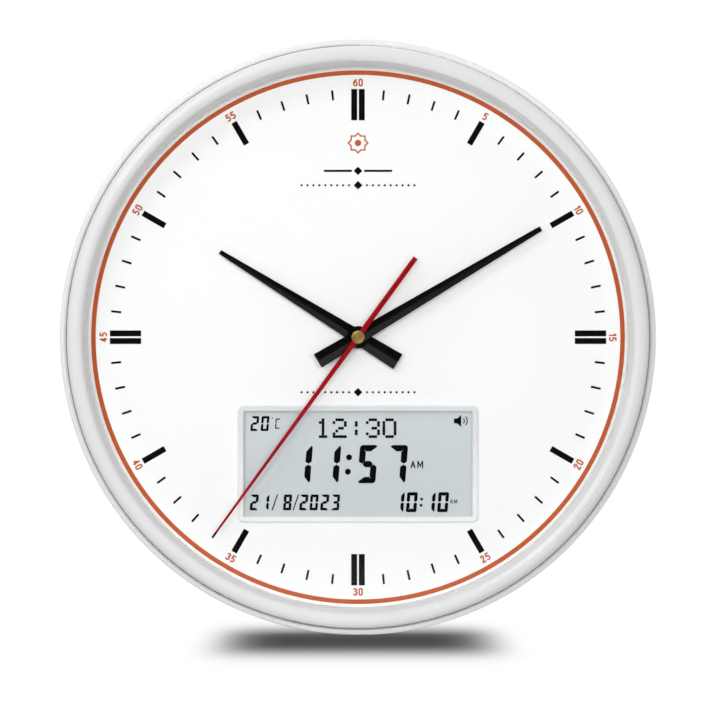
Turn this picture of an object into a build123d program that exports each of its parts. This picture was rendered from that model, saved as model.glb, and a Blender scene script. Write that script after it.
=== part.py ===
from build123d import *
import math
import os

# Wall clock with three hands, a liquid crystal display and a loudspeaker.
#
# The clock is modelled lying on its back: x to the right, y towards twelve o'clock and z out of
# the dial, with z = 0 in the plane of the wall and the hands' axis on z. write() stands it up on
# its hanger: in the finished part the dial faces -Y, +Z is up and the origin is the centre of the
# hanger's round hole. All sizes are in millimetres and all angles in degrees.

# ---------------------------------------------------------------- case
CLOCK_DIAMETER = 330.0
RIM_BEAD_WIDTH = 3.5
BEZEL_GROOVE = 0.8
BEZEL_WIDTH = 10.7
BEZEL_RISE = 6.8
BEZEL_INNER_SLOPE = 2.3
BEZEL_WALL = 2.2
BEZEL_LIP = 0.8
BEZEL_SHOULDER = 2.0
BEZEL_CREST_INSET = 5.3
BEZEL_DOME_DROP = 3.6
BEZEL_BROW = 5.2
BEZEL_CEILING = 3.2
CASE_WALL = 2.5
BACK_CORNER_RADIUS = 27.0
FOOT_HEIGHT = 3.0
FOOT_WIDTH = 3.0
FOOT_INSET = 4.5
LEDGE_WIDTH = 2.5
LEDGE_DEPTH = 11.5
BEZEL_CORNER = 3.5
BEZEL_SEAT_DEPTH = 1.5
LENS_LEG_DEPTH = 1.0
GROOVE_DEPTH = 0.6
DIAL_WALL_WIDTH = 2.2
SPACER_WIDTH = 2.2

# ---------------------------------------------------------------- clearances
SLIDE_CLEARANCE = 0.1
RUNNING_CLEARANCE = 0.05
PRESS_CLEARANCE = 0.01
FIT_CLEARANCE = 0.2
DOOR_CLEARANCE = 0.25
HOLE_CLEARANCE = 0.1
END_PLAY = 0.1
OVERCUT = 1.0

# ---------------------------------------------------------------- dial and its print
DIAL_THICKNESS = 1.0
PRINT_THICKNESS = 0.12
RING_MARGIN = 1.6
RING_WIDTH = 2.5
NUMERAL_HEIGHT = 4.4
NUMERAL_GAP = 2.1
NUMERAL_STROKE = 0.84
BAR_OUTER_INSET = 10.4
TICK_LENGTH = 5.6
TICK_WIDTH = 1.2
BAR_LENGTH = 14.1
BAR_WIDTH = 3.3
DOUBLE_BAR_LENGTH = 17.4
DOUBLE_BAR_GAP = 0.95
ORNAMENT_INSET = 30.0
ORNAMENT_RADIUS = 6.0
ORNAMENT_STROKE = 0.8
FIRST_RULE_INSET = 45.5
SECOND_RULE_INSET = 53.5
LOWER_RULE_GAP = 7.45
FIRST_RULE_LENGTH = 38.0
BEAD_SIZE = 1.1
BEAD_PITCH = 3.3
BEAD_COUNT = 19
LOZENGE_SIZE = 3.4

# ---------------------------------------------------------------- hands
HOUR_ANGLE = 301.7
MINUTE_ANGLE = 59.3
SECOND_ANGLE = 216.0
HOUR_TIP_INSET = 48.0
HOUR_TAIL = 26.0
HOUR_TAIL_WIDTH = 9.7
HOUR_TIP_WIDTH = 2.5
MINUTE_TIP_INSET = 20.0
MINUTE_TAIL = 26.0
MINUTE_TAIL_WIDTH = 8.7
MINUTE_TIP_WIDTH = 2.9
SECOND_TIP_INSET = 4.5
SECOND_TAIL = 54.3
SECOND_TAIL_WIDTH = 2.9
SECOND_TIP_WIDTH = 1.2
SHEET_THICKNESS = 0.4
HAND_FOLD = 0.16
HUB_RADIUS = 6.2
SECOND_HUB_RADIUS = 3.0
HAND_STEP = 2.2
TUBE_PROUD = 0.6
NUT_TO_HAND = 0.7
CAP_DIAMETER = 7.1
CAP_HEIGHT = 1.5
CAP_CHAMFER = 0.65
CAP_GROOVE_DEPTH = 0.2
LENS_CLEARANCE = 1.0
LENS_THICKNESS = 2.0

# ---------------------------------------------------------------- quartz movement
MOVEMENT_LEAF_SPACE = 2.3
MOVEMENT_DEPTH = 16.5
MOVEMENT_DROP = 1.0
MOVEMENT_WALL = 1.2
MOVEMENT_PLATE = 1.5
MOVEMENT_CORNER = 3.0
MOVEMENT_POST_RADIUS = 1.2
MOVEMENT_WINDOW_MARGIN = 2.0
MOVEMENT_SPLIT = 8.0
MOVEMENT_REAR_GAP = 3.2
CELL_BAY_HEIGHT = 14.6
WASHER_THICKNESS = 0.8
WASHER_RADIUS = 9.0
NUT_ACROSS_FLATS = 10.0
NUT_THICKNESS = 2.2
BUSH_PROUD = 0.2
BUSH_RADIUS = 3.9
BUSH_FLANGE_RADIUS = 5.2
BUSH_FLANGE_THICKNESS = 1.2
SECOND_SHAFT_RADIUS = 0.45
CENTRE_TUBE_WALL = 0.35
MINUTE_TUBE_WALL = 0.7
HOUR_TUBE_WALL = 0.9
ARBOR_RADIUS = 0.35
PIVOT_BOSS_RADIUS = 1.5
PIVOT_BOSS_HEIGHT = 0.8
PIVOT_DEPTH = 0.8
WHEEL_THICKNESS = 0.5

# Gears: teeth of each wheel and pinion. The rotor turns half a turn each second. A tooth is
# given by its height above and below the pitch circle in modules, then half its width at the
# pitch circle, at the tip and at the root, as shares of the pitch.
WHEEL_TOOTH = (0.85, 1.15, 0.20, 0.07, 0.26)
PINION_TOOTH = (0.75, 1.15, 0.17, 0.07, 0.19)
ROTOR_PINION_TEETH = 8
INTERMEDIATE_TEETH = 48
INTERMEDIATE_PINION_TEETH = 12
SECOND_TEETH = 60
SECOND_PINION_TEETH = 8
THIRD_TEETH = 60
THIRD_PINION_TEETH = 8
CENTRE_TEETH = 64
CANNON_TEETH = 12
MINUTE_TEETH = 36
MINUTE_PINION_TEETH = 10
HOUR_TEETH = 40
KNOB_PINION_TEETH = 12

# Distance between the arbors of each mesh, and the direction of the line of centres.
ROTOR_DISTANCE = 5.6
INTERMEDIATE_DISTANCE = 9.0
THIRD_DISTANCE = 8.64
MINUTE_DISTANCE = 9.6
ROTOR_DIRECTION = 120.0
INTERMEDIATE_DIRECTION = 110.0
THIRD_DIRECTION = 20.0
MINUTE_DIRECTION = 200.0
KNOB_DIRECTION = 150.0

# Heights of the stator and the wheels above the movement's rear face, as shares of its depth.
STATOR_SHARE = 0.2
INTERMEDIATE_SHARE = 0.327
SECOND_SHARE = 0.406
THIRD_SHARE = 0.485
CENTRE_SHARE = 0.564
MINUTE_SHARE = 0.673
HOUR_SHARE = 0.776
PINION_OVERHANG = 0.5

ROTOR_RADIUS = 2.6
ROTOR_THICKNESS = 2.0
STATOR_THICKNESS = 0.8
STATOR_GAP = 0.4
STATOR_NECK = 1.1
STATOR_LENGTH = 30.0
STATOR_LEG_WIDTH = 5.0
CORE_WIDTH = 2.0
COIL_RADIUS = 2.4
COIL_FLANGE = 0.6
KNOB_RADIUS = 6.0
KNOB_THICKNESS = 1.7
KNOB_SHAFT_RADIUS = 1.0
KNOB_GAP = 0.3
KNURL_COUNT = 30
MOVEMENT_BOARD_SIZE = (13.0, 9.0)
MOVEMENT_BOARD_MARGIN = (1.8, 1.5)
BOARD_POST_HEIGHT = 1.0
BOARD_THICKNESS = 0.8
MOVEMENT_CHIP_RADIUS = 2.2
MOVEMENT_CHIP_HEIGHT = 0.9
MOVEMENT_CHIP_EDGE = 0.6
MOVEMENT_CRYSTAL_RADIUS = 1.0
MOVEMENT_CRYSTAL_LENGTH = 6.0

# ---------------------------------------------------------------- display
# The display fills the room between the movement above it and the bars at five and seven below.
DISPLAY_WIDTH_SHARE = 0.8467
FRAME_TO_BAR = 4.35
BOARD_TO_MOVEMENT = 3.0
FRAME_BORDER = 3.3
FRAME_CORNER = 3.3
FRAME_RISE = 2.2
FRAME_NECK = 1.0
FRAME_EDGE_RADIUS = 1.2
FRAME_WINDOW_CORNER = 0.8
FRAME_WINDOW_BEVEL = 0.6
PEG_RADIUS = 0.7
PANEL_SIDE_MARGIN = 1.1
PANEL_BOTTOM_MARGIN = 1.4
PANEL_LEDGE = 6.2
PANEL_THICKNESS = 2.8
SEGMENT_THICKNESS = 0.1
DIGIT_SLANT = 0.08
SEGMENT_GAP = 0.07
DOT_FILL = 0.97
STRIP_END_INSET = 4.5
STRIP_WIDTH = 2.0
STRIP_HEIGHT = 5.0
HOLDER_WALL = 2.0
HOLDER_FLOOR = 1.5
HOLDER_SETBACK = 0.4
HOLDER_PIN_RADIUS = 0.9
HOLDER_PIN_PROUD = 0.5

# ---------------------------------------------------------------- main board
BOARD_SIDE_MARGIN = 7.2
BOARD_TOP_MARGIN = 0.95
MAIN_BOARD_CORNER = 2.0
MAIN_BOARD_THICKNESS = 1.6
BOARD_HOLE_INSET = 4.0
POST_RADIUS = 3.0
CHIP_SIZE = (14.0, 14.0)
AMPLIFIER_SIZE = (9.0, 7.0)
CHIP_THICKNESS = 1.6
CRYSTAL_SIZE = (10.0, 4.4)
CRYSTAL_CORNER = 2.1
CRYSTAL_HEIGHT = 3.4
CAPACITOR_RADIUS = 3.2
CAPACITOR_HEIGHT = 8.0
SOCKET_SIZE = (7.0, 6.0)
SOCKET_HEIGHT = 5.0

# Places on the board: x from its middle, and how far below its upper edge.
CHIP_PLACE = (-28.0, 24.0)
AMPLIFIER_PLACE = (28.0, 20.0)
CRYSTAL_PLACE = (-6.0, 24.0)
CAPACITOR_PLACES = ((42.0, 20.0), (50.0, 20.0))
SPEAKER_SOCKET_PLACE = (-58.0, 10.0)
BATTERY_SOCKET_PLACE = (58.0, 10.0)

# ---------------------------------------------------------------- buttons and slide switch
BUTTON_COUNT = 6
BUTTON_END_MARGIN = 11.5
BUTTON_ROW_RISE = 17.0
BUTTON_RADIUS = 4.5
BUTTON_EDGE_RADIUS = 0.5
BUTTON_PROUD = 1.4
BUTTON_FLANGE = 1.1
BUTTON_FLANGE_THICKNESS = 1.2
BUTTON_STEM_RADIUS = 1.6
BUTTON_SEAT_GAP = 0.05
SWITCH_SIZE = 8.0
SWITCH_HEIGHT = 4.0
SWITCH_BORE_DEPTH = 2.6
STEM_ENGAGEMENT = 0.8
SLIDE_X = -5.0
SLIDE_RISE = 33.0
SLIDE_BODY = (13.0, 6.5)
SLIDE_BODY_HEIGHT = 5.0
SLIDE_KNOB = (3.8, 3.0)
SLIDE_TRAVEL = 4.0
COLLAR_WIDTH = 1.6
COLLAR_HEIGHT = 0.5
COLLAR_CORNER = 1.5
MARK_HEIGHT = 0.3
MARK_SIZE = 4.2
MARK_STROKE = 0.6
NUMBER_DROP = 10.0

# ---------------------------------------------------------------- speaker
SPEAKER_CENTRE = (-80.0, 45.0)
SPEAKER_RADIUS = 33.0
SPEAKER_SEAT = 2.0
SPEAKER_SEAT_WIDTH = 4.0
SPEAKER_FLANGE_THICKNESS = 1.2
SPEAKER_FLANGE_WIDTH = 5.5
SPEAKER_TO_DIAL = 1.0
SPEAKER_EAR_RADIUS = 3.6
SPEAKER_EAR_COUNT = 4
SPEAKER_EAR_OFFSET = 1.0
BASKET_WALL = 1.0
BASKET_INSET = 2.0
BASKET_RING = 1.5
BASKET_WINDOW = (12.0, 16.0)
BASKET_WINDOW_COUNT = 4
TAG_SIZE = (8.0, 3.0)
TAG_HEIGHT = 3.0
TAG_OFFSET = 2.0
MAGNET_RADIUS = 16.0
POLE_HOLE = 6.5
MAGNET_THICKNESS = 7.0
MAGNET_CHAMFER = 0.6
YOKE_THICKNESS = 1.0
CONE_THICKNESS = 0.5
CONE_DEPTH = 5.0
CONE_THROAT = 9.0
PAPER_OVERLAP = 1.0
DUST_CAP_RISE = 2.0
CONE_ROLL_WIDTH = 2.6
CONE_ROLL_DEPTH = 1.2
CONE_LIP = 1.4
GRILLE_RADIUS = 26.0
GRILLE_SLOT_WIDTH = 2.2
GRILLE_SLOT_PITCH = 5.0

# ---------------------------------------------------------------- batteries
CELL_RADIUS = 7.1
CELL_LENGTH = 50.5
CELL_NUB_LENGTH = 1.1
CELL_NUB_RADIUS = 2.6
CELL_EDGE_RADIUS = 0.5
CELL_COUNT = 3
CELL_PITCH = 15.0
BAY_CENTRE = (78.0, 45.0)
BAY_SIDE_MARGIN = 1.0
BAY_SPRING_SPACE = 6.65
BAY_WALL = 2.8
BAY_CEILING = 1.5
CELL_CLEARANCE = 0.3
CONTACT_THICKNESS = 0.4
CONTACT_SIZE = 10.0
SPRING_WIRE_RADIUS = 0.35
SPRING_RADIUS = 3.0
SPRING_TURNS = 4
DOOR_LEDGE = 1.2
DOOR_THICKNESS = 2.0
DOOR_TAB_RISE = 0.7
DOOR_TAB_WIDTH = 6.0
DOOR_TAB_SPACING = 30.0
DOOR_TAB_THICKNESS = 1.3
DOOR_TAB_REACH = 1.0
DOOR_TAB_ROOT = 2.6
DOOR_KNUCKLE_RADIUS = 0.9
DOOR_TONGUE_WIDTH = 10.0
DOOR_TONGUE_DEPTH = 4.0
DOOR_TONGUE_THICKNESS = 1.2
DOOR_TONGUE_INSET = 0.9
FINGER_RECESS = (16.0, 5.0)
RIDGE_COUNT = 3
RIDGE_PITCH = 2.0
RIDGE_WIDTH = 0.8
RIDGE_HEIGHT = 0.5
RIDGE_INSET = 5.0

# ---------------------------------------------------------------- hanger and fasteners
HANGER_INSET = 28.0
HANGER_PLATE_DROP = 1.0
HANGER_CORNER = 3.0
HANGER_THICKNESS = 1.0
HANGER_STANDOFF = 2.5
HANGER_WIDTH = 37.0
HANGER_LENGTH = 28.0
HANGER_HOLE_RADIUS = 4.5
HANGER_SLOT_WIDTH = 4.4
HANGER_SLOT_LENGTH = 10.0
HANGER_SCREW_SPACING = 27.0
HANGER_WINDOW_WIDTH = 18.0
HANGER_WINDOW_MARGIN = 2.0
CASE_SCREW_COUNT = 6
CASE_SCREW_LENGTH = 12.0
CASE_SCREW_RADIUS = 1.4
CASE_SCREW_HEAD_RADIUS = 2.7
CASE_SCREW_HEAD_HEIGHT = 2.0
CASE_BOSS_RADIUS = 2.6
CASE_BOSS_WALL = 1.5
CASE_BOSS_DROP = 3.5
CASE_BOSS_ROOT = 0.5
SMALL_SCREW_LENGTH = 4.6
SMALL_SCREW_RADIUS = 1.1
SMALL_SCREW_HEAD_RADIUS = 2.3
SMALL_SCREW_HEAD_HEIGHT = 1.5
LEAD_RADIUS = 0.7
LEAD_PAIR_SPREAD = 2.0
SOCKET_PAIR_SPREAD = 1.6
BAY_LEAD_OFFSET = 12.0

# ---------------------------------------------------------------- heights that follow
BACK_INNER = FOOT_HEIGHT + CASE_WALL
MOVEMENT_BACK = BACK_INNER + MOVEMENT_REAR_GAP
MOVEMENT_FRONT = MOVEMENT_BACK + MOVEMENT_DEPTH
DIAL_BACK = MOVEMENT_FRONT + WASHER_THICKNESS
DIAL_FRONT = DIAL_BACK + DIAL_THICKNESS
NUT_TOP = DIAL_FRONT + NUT_THICKNESS
HOUR_HAND_BASE = NUT_TOP + NUT_TO_HAND
MINUTE_HAND_BASE = HOUR_HAND_BASE + HAND_STEP
SECOND_HAND_BASE = MINUTE_HAND_BASE + HAND_STEP
CAP_BASE = SECOND_HAND_BASE + SHEET_THICKNESS
CAP_TOP = CAP_BASE + CAP_HEIGHT
LENS_BACK = CAP_TOP + LENS_CLEARANCE
LENS_FRONT = LENS_BACK + LENS_THICKNESS
BEZEL_CREST = LENS_FRONT + BEZEL_RISE
BEZEL_SEAT = DIAL_BACK - BEZEL_SEAT_DEPTH
RIM_TOP = BEZEL_SEAT + LEDGE_DEPTH
BOARD_FRONT = DIAL_BACK - PANEL_THICKNESS - STRIP_HEIGHT
BOARD_BACK = BOARD_FRONT - MAIN_BOARD_THICKNESS
HANGER_BASE = BACK_INNER + HANGER_STANDOFF
SPEAKER_BASE = BACK_INNER + SPEAKER_SEAT
DOOR_INNER = FOOT_HEIGHT + DOOR_THICKNESS
CELL_HEIGHT = DOOR_INNER + CELL_CLEARANCE + CELL_RADIUS
BAY_TOP = CELL_HEIGHT + CELL_RADIUS + CELL_CLEARANCE
MOVEMENT_CELL_HEIGHT = MOVEMENT_FRONT - MOVEMENT_PLATE - CELL_CLEARANCE - CELL_RADIUS
DOOR_TAB_BASE = DOOR_INNER + DOOR_TAB_RISE
SWITCH_FACE = BOARD_BACK - SWITCH_HEIGHT
CASE_BOSS_TOP = BEZEL_SEAT - CASE_BOSS_DROP
CASE_SCREW_SEAT = CASE_BOSS_TOP - CASE_WALL
CASE_SCREW_TIP = CASE_SCREW_SEAT + CASE_SCREW_LENGTH
SPEAKER_RIM = SPEAKER_BASE + SPEAKER_FLANGE_THICKNESS
MAGNET_BASE = DIAL_BACK - SPEAKER_TO_DIAL - YOKE_THICKNESS - MAGNET_THICKNESS
STATOR_LEVEL = MOVEMENT_DEPTH * STATOR_SHARE
INTERMEDIATE_LEVEL = MOVEMENT_DEPTH * INTERMEDIATE_SHARE
SECOND_LEVEL = MOVEMENT_DEPTH * SECOND_SHARE
THIRD_LEVEL = MOVEMENT_DEPTH * THIRD_SHARE
CENTRE_LEVEL = MOVEMENT_DEPTH * CENTRE_SHARE
MINUTE_LEVEL = MOVEMENT_DEPTH * MINUTE_SHARE
HOUR_LEVEL = MOVEMENT_DEPTH * HOUR_SHARE
ARBOR_BOTTOM = MOVEMENT_WALL + PIVOT_BOSS_HEIGHT - PIVOT_DEPTH
ARBOR_TOP = MOVEMENT_DEPTH - MOVEMENT_PLATE + PIVOT_DEPTH
BUSH_TOP = NUT_TOP + BUSH_PROUD
HOUR_TUBE_TOP = HOUR_HAND_BASE + SHEET_THICKNESS + TUBE_PROUD
MINUTE_TUBE_TOP = MINUTE_HAND_BASE + SHEET_THICKNESS + TUBE_PROUD
SHAFT_TOP = SECOND_HAND_BASE + SHEET_THICKNESS + TUBE_PROUD

# ---------------------------------------------------------------- radii that follow
CASE_RADIUS = CLOCK_DIAMETER / 2
RIM_INNER = CASE_RADIUS - RIM_BEAD_WIDTH
BEZEL_OUTER = RIM_INNER - BEZEL_GROOVE
VIEW_RADIUS = BEZEL_OUTER - BEZEL_WIDTH
LENS_RADIUS = VIEW_RADIUS + SPACER_WIDTH
BEZEL_SEAT_RADIUS = LENS_RADIUS + FIT_CLEARANCE
SKIRT_OUTER = RIM_INNER - FIT_CLEARANCE
SKIRT_INNER = SKIRT_OUTER - BEZEL_WALL
LEDGE_INNER = RIM_INNER - LEDGE_WIDTH
FLOOR_RADIUS = CASE_RADIUS - BACK_CORNER_RADIUS
FOOT_RADIUS = FLOOR_RADIUS - FOOT_INSET
SCREW_CIRCLE = BEZEL_SEAT_RADIUS + CASE_BOSS_RADIUS
BAR_OUTER = VIEW_RADIUS - RING_MARGIN - BAR_OUTER_INSET
BAR_INNER = BAR_OUTER - BAR_LENGTH
HOUR_LENGTH = BAR_OUTER - HOUR_TIP_INSET
MINUTE_LENGTH = BAR_OUTER - MINUTE_TIP_INSET
SECOND_LENGTH = BAR_OUTER - SECOND_TIP_INSET

# Inner and outer radius of the three tubes on the hands' axis, from the inside out.
CENTRE_TUBE_BORE = SECOND_SHAFT_RADIUS + RUNNING_CLEARANCE
CENTRE_TUBE = (CENTRE_TUBE_BORE, CENTRE_TUBE_BORE + CENTRE_TUBE_WALL)
MINUTE_TUBE_BORE = CENTRE_TUBE[1] + RUNNING_CLEARANCE
MINUTE_TUBE = (MINUTE_TUBE_BORE, MINUTE_TUBE_BORE + MINUTE_TUBE_WALL)
HOUR_TUBE_BORE = MINUTE_TUBE[1] + RUNNING_CLEARANCE
HOUR_TUBE = (HOUR_TUBE_BORE, HOUR_TUBE_BORE + HOUR_TUBE_WALL)
BUSH_BORE = HOUR_TUBE[1] + RUNNING_CLEARANCE

# ---------------------------------------------------------------- widths and places that follow
HANGER_HEIGHT = FLOOR_RADIUS - HANGER_INSET
HANGER_CENTRE = (0, HANGER_HEIGHT + HANGER_SLOT_LENGTH / 2 - HANGER_PLATE_DROP)
HANGER_WINDOW = (HANGER_WINDOW_WIDTH, HANGER_SLOT_LENGTH + 2 * HANGER_HOLE_RADIUS + HANGER_WINDOW_MARGIN)
BAY_LENGTH = CELL_LENGTH + 2 * CONTACT_THICKNESS + BAY_SPRING_SPACE
BAY_BREADTH = CELL_COUNT * CELL_PITCH + BAY_SIDE_MARGIN
BAY_TOP_EDGE = BAY_CENTRE[1] + BAY_BREADTH / 2
BAY_LOWER_EDGE = BAY_CENTRE[1] - BAY_BREADTH / 2

MOVEMENT_SIZE = CELL_LENGTH + 2 * CONTACT_THICKNESS + 2 * MOVEMENT_WALL + MOVEMENT_LEAF_SPACE
TRAIN_TOP = MOVEMENT_SIZE / 2 - MOVEMENT_DROP - MOVEMENT_WALL
MOVEMENT_CELL_Y = -MOVEMENT_SIZE / 2 - MOVEMENT_DROP + MOVEMENT_WALL + CELL_BAY_HEIGHT / 2
TRAIN_BOTTOM = MOVEMENT_CELL_Y + CELL_BAY_HEIGHT / 2 + MOVEMENT_WALL
MOVEMENT_BOARD_X = MOVEMENT_SIZE / 2 - MOVEMENT_WALL - MOVEMENT_BOARD_MARGIN[0] - MOVEMENT_BOARD_SIZE[0] / 2
MOVEMENT_BOARD_Y = TRAIN_BOTTOM + MOVEMENT_BOARD_MARGIN[1] + MOVEMENT_BOARD_SIZE[1] / 2
MOVEMENT_BOARD_CENTRE = (MOVEMENT_BOARD_X, MOVEMENT_BOARD_Y)

BOARD_TOP_EDGE = -MOVEMENT_SIZE / 2 - MOVEMENT_DROP - BOARD_TO_MOVEMENT
DISPLAY_TOP = BOARD_TOP_EDGE - BOARD_TOP_MARGIN - HOLDER_WALL - FIT_CLEARANCE - PANEL_LEDGE
DISPLAY_BOTTOM = FRAME_TO_BAR + FRAME_BORDER - BAR_INNER * math.cos(math.radians(30))
DISPLAY_HEIGHT = DISPLAY_TOP - DISPLAY_BOTTOM
DISPLAY_WIDTH = VIEW_RADIUS * DISPLAY_WIDTH_SHARE
DISPLAY_DROP = -(DISPLAY_TOP + DISPLAY_BOTTOM) / 2
PANEL_SIZE = (DISPLAY_WIDTH + 2 * PANEL_SIDE_MARGIN, DISPLAY_HEIGHT + PANEL_BOTTOM_MARGIN + PANEL_LEDGE)
PANEL_CENTRE = (0, (PANEL_LEDGE - PANEL_BOTTOM_MARGIN) / 2 - DISPLAY_DROP)
STRIP_LENGTH = DISPLAY_WIDTH - 2 * STRIP_END_INSET
STRIP_CENTRE = (0, DISPLAY_TOP + PANEL_LEDGE / 2)
POCKET_SIZE = (PANEL_SIZE[0] + 2 * FIT_CLEARANCE, PANEL_SIZE[1] + 2 * FIT_CLEARANCE)
MAIN_BOARD_WIDTH = POCKET_SIZE[0] + 2 * (HOLDER_WALL + BOARD_SIDE_MARGIN)
MAIN_BOARD_HEIGHT = 2 * (BOARD_TOP_EDGE + DISPLAY_DROP)
BOARD_LOWER_EDGE = BOARD_TOP_EDGE - MAIN_BOARD_HEIGHT
BUTTON_PITCH = (MAIN_BOARD_WIDTH - 2 * BUTTON_END_MARGIN) / (BUTTON_COUNT - 1)
SLIDE_CENTRE = (SLIDE_X, BOARD_LOWER_EDGE + SLIDE_RISE)

STAND_UP = Rot(90, 0, 0) * Pos(0, -HANGER_HEIGHT, -HANGER_BASE - HANGER_THICKNESS / 2)
ON_BASE = (Align.CENTER, Align.CENTER, Align.MIN)


# ================================================================ helpers
def disc(radius, bottom, top, at=(0, 0)):
    return Pos(at[0], at[1], bottom) * Cylinder(radius, top - bottom, align=ON_BASE)


def tube(inner, outer, bottom, top, at=(0, 0)):
    return disc(outer, bottom, top, at) - disc(inner, bottom, top, at)


def block(size, bottom, top, at=(0, 0)):
    return Pos(at[0], at[1], bottom) * Box(size[0], size[1], top - bottom, align=ON_BASE)


def raised(sketch, bottom, top):
    return Pos(0, 0, bottom) * extrude(sketch, top - bottom)


def plate(size, corner, bottom, top, at=(0, 0)):
    return raised(Pos(at[0], at[1]) * RectangleRounded(size[0], size[1], corner), bottom, top)


def turned(*edges):
    """Solid of revolution about z of a closed profile, drawn with radius as x and height as z."""
    return revolve(make_face(Curve() + list(edges)), Axis.Z)


def at_radius(points):
    return [(radius, 0, height) for radius, height in points]


def polar(radius, direction, origin=(0, 0)):
    angle = math.radians(direction)
    return (origin[0] + radius * math.cos(angle), origin[1] + radius * math.sin(angle))


# Arbors of the movement, each from the one it meshes with.
INTERMEDIATE_AT = polar(INTERMEDIATE_DISTANCE, INTERMEDIATE_DIRECTION)
ROTOR_AT = polar(ROTOR_DISTANCE, ROTOR_DIRECTION, INTERMEDIATE_AT)
THIRD_AT = polar(THIRD_DISTANCE, THIRD_DIRECTION)
MINUTE_AT = polar(MINUTE_DISTANCE, MINUTE_DIRECTION)
KNOB_AT = polar(MINUTE_DISTANCE, KNOB_DIRECTION, MINUTE_AT)


def clockwise(angle):
    """Placement of something drawn at twelve o'clock, turned clockwise as seen from the front."""
    return Rot(0, 0, -angle)


def stroke(start, end, width):
    dx = end[0] - start[0]
    dy = end[1] - start[1]
    middle = Pos((start[0] + end[0]) / 2, (start[1] + end[1]) / 2)
    slant = Rot(0, 0, math.degrees(math.atan2(dy, dx)))
    return middle * slant * SlotCenterToCenter(math.hypot(dx, dy), width)


def bend(start, middle, end, width):
    return SlotArc(ThreePointArc(start, middle, end), width)


def write(name, *pieces):
    solids = [STAND_UP * solid for piece in pieces for solid in piece.solids()]
    shape = solids[0] if len(solids) == 1 else Compound(children=solids)
    export_step(shape, f"parts/{name}.step")


# ================================================================ case
def back_envelope():
    """Everything inside the outer face of the back case, up to the rim."""
    bead = RIM_BEAD_WIDTH / 2
    bead_height = RIM_TOP - bead
    return turned(
        Line((0, 0, FOOT_HEIGHT), (FLOOR_RADIUS, 0, FOOT_HEIGHT)),
        TangentArc((FLOOR_RADIUS, 0, FOOT_HEIGHT), (CASE_RADIUS, 0, bead_height), tangent=(1, 0, 0)),
        ThreePointArc((CASE_RADIUS, 0, bead_height), (CASE_RADIUS - bead, 0, RIM_TOP),
                      (RIM_INNER, 0, bead_height)),
        Polyline(at_radius([(RIM_INNER, bead_height), (0, bead_height), (0, FOOT_HEIGHT)])),
    )


def back_hollow():
    return turned(
        Line((0, 0, BACK_INNER), (FLOOR_RADIUS, 0, BACK_INNER)),
        TangentArc((FLOOR_RADIUS, 0, BACK_INNER), (LEDGE_INNER, 0, BEZEL_SEAT), tangent=(1, 0, 0)),
        Polyline(at_radius([(LEDGE_INNER, BEZEL_SEAT), (RIM_INNER, BEZEL_SEAT),
                            (RIM_INNER, RIM_TOP + OVERCUT), (0, RIM_TOP + OVERCUT), (0, BACK_INNER)])),
    )


def back_cover():
    envelope = back_envelope()
    inside = Part()
    inside += tube(VIEW_RADIUS - DIAL_WALL_WIDTH, VIEW_RADIUS, 0, DIAL_BACK)
    for at in case_screw_places():
        inside += disc(CASE_SCREW_HEAD_RADIUS + CASE_BOSS_WALL, 0, CASE_BOSS_TOP, at)
    for at in board_screw_places():
        inside += disc(POST_RADIUS, FOOT_HEIGHT, BOARD_BACK, at)
    for at in hanger_screw_places():
        inside += disc(POST_RADIUS, FOOT_HEIGHT, HANGER_BASE, at)
    for at in speaker_screw_places():
        inside += disc(POST_RADIUS, FOOT_HEIGHT, SPEAKER_BASE, at)
    inside += tube(SPEAKER_RADIUS - SPEAKER_SEAT_WIDTH, SPEAKER_RADIUS, FOOT_HEIGHT, SPEAKER_BASE,
                   SPEAKER_CENTRE)
    bay_outer = (BAY_LENGTH + 2 * BAY_WALL, BAY_BREADTH + 2 * BAY_WALL)
    inside += block(bay_outer, FOOT_HEIGHT, BAY_TOP + BAY_CEILING, BAY_CENTRE)
    case = envelope - back_hollow() + (inside & envelope)
    case += tube(FOOT_RADIUS - FOOT_WIDTH / 2, FOOT_RADIUS + FOOT_WIDTH / 2, 0, FOOT_HEIGHT)
    case += back_collars()
    case += button_numbers()
    return case - back_openings()


def back_collars():
    """Low collars round the buttons, the slide switch and the grille."""
    base = FOOT_HEIGHT - COLLAR_HEIGHT
    slot = slide_slot()
    around_slot = (slot[0] + 2 * COLLAR_WIDTH, slot[1] + 2 * COLLAR_WIDTH)
    collars = [disc(BUTTON_RADIUS + SLIDE_CLEARANCE + COLLAR_WIDTH, base, FOOT_HEIGHT, at)
               for at in button_places()]
    collars += [plate(around_slot, COLLAR_CORNER, base, FOOT_HEIGHT, SLIDE_CENTRE)]
    inner = GRILLE_RADIUS + COLLAR_WIDTH
    return collars + [tube(inner, inner + COLLAR_WIDTH, base, FOOT_HEIGHT, SPEAKER_CENTRE)]


def button_numbers():
    """Raised numbers below the buttons, counted from the left as seen from behind."""
    numbers = []
    for place, (x, y) in enumerate(button_places()):
        text = mirror(numeral(str(BUTTON_COUNT - place), MARK_SIZE, MARK_STROKE), about=Plane.YZ)
        numbers.append(raised(Pos(x, y - NUMBER_DROP) * text, FOOT_HEIGHT - MARK_HEIGHT, FOOT_HEIGHT))
    return numbers


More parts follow.
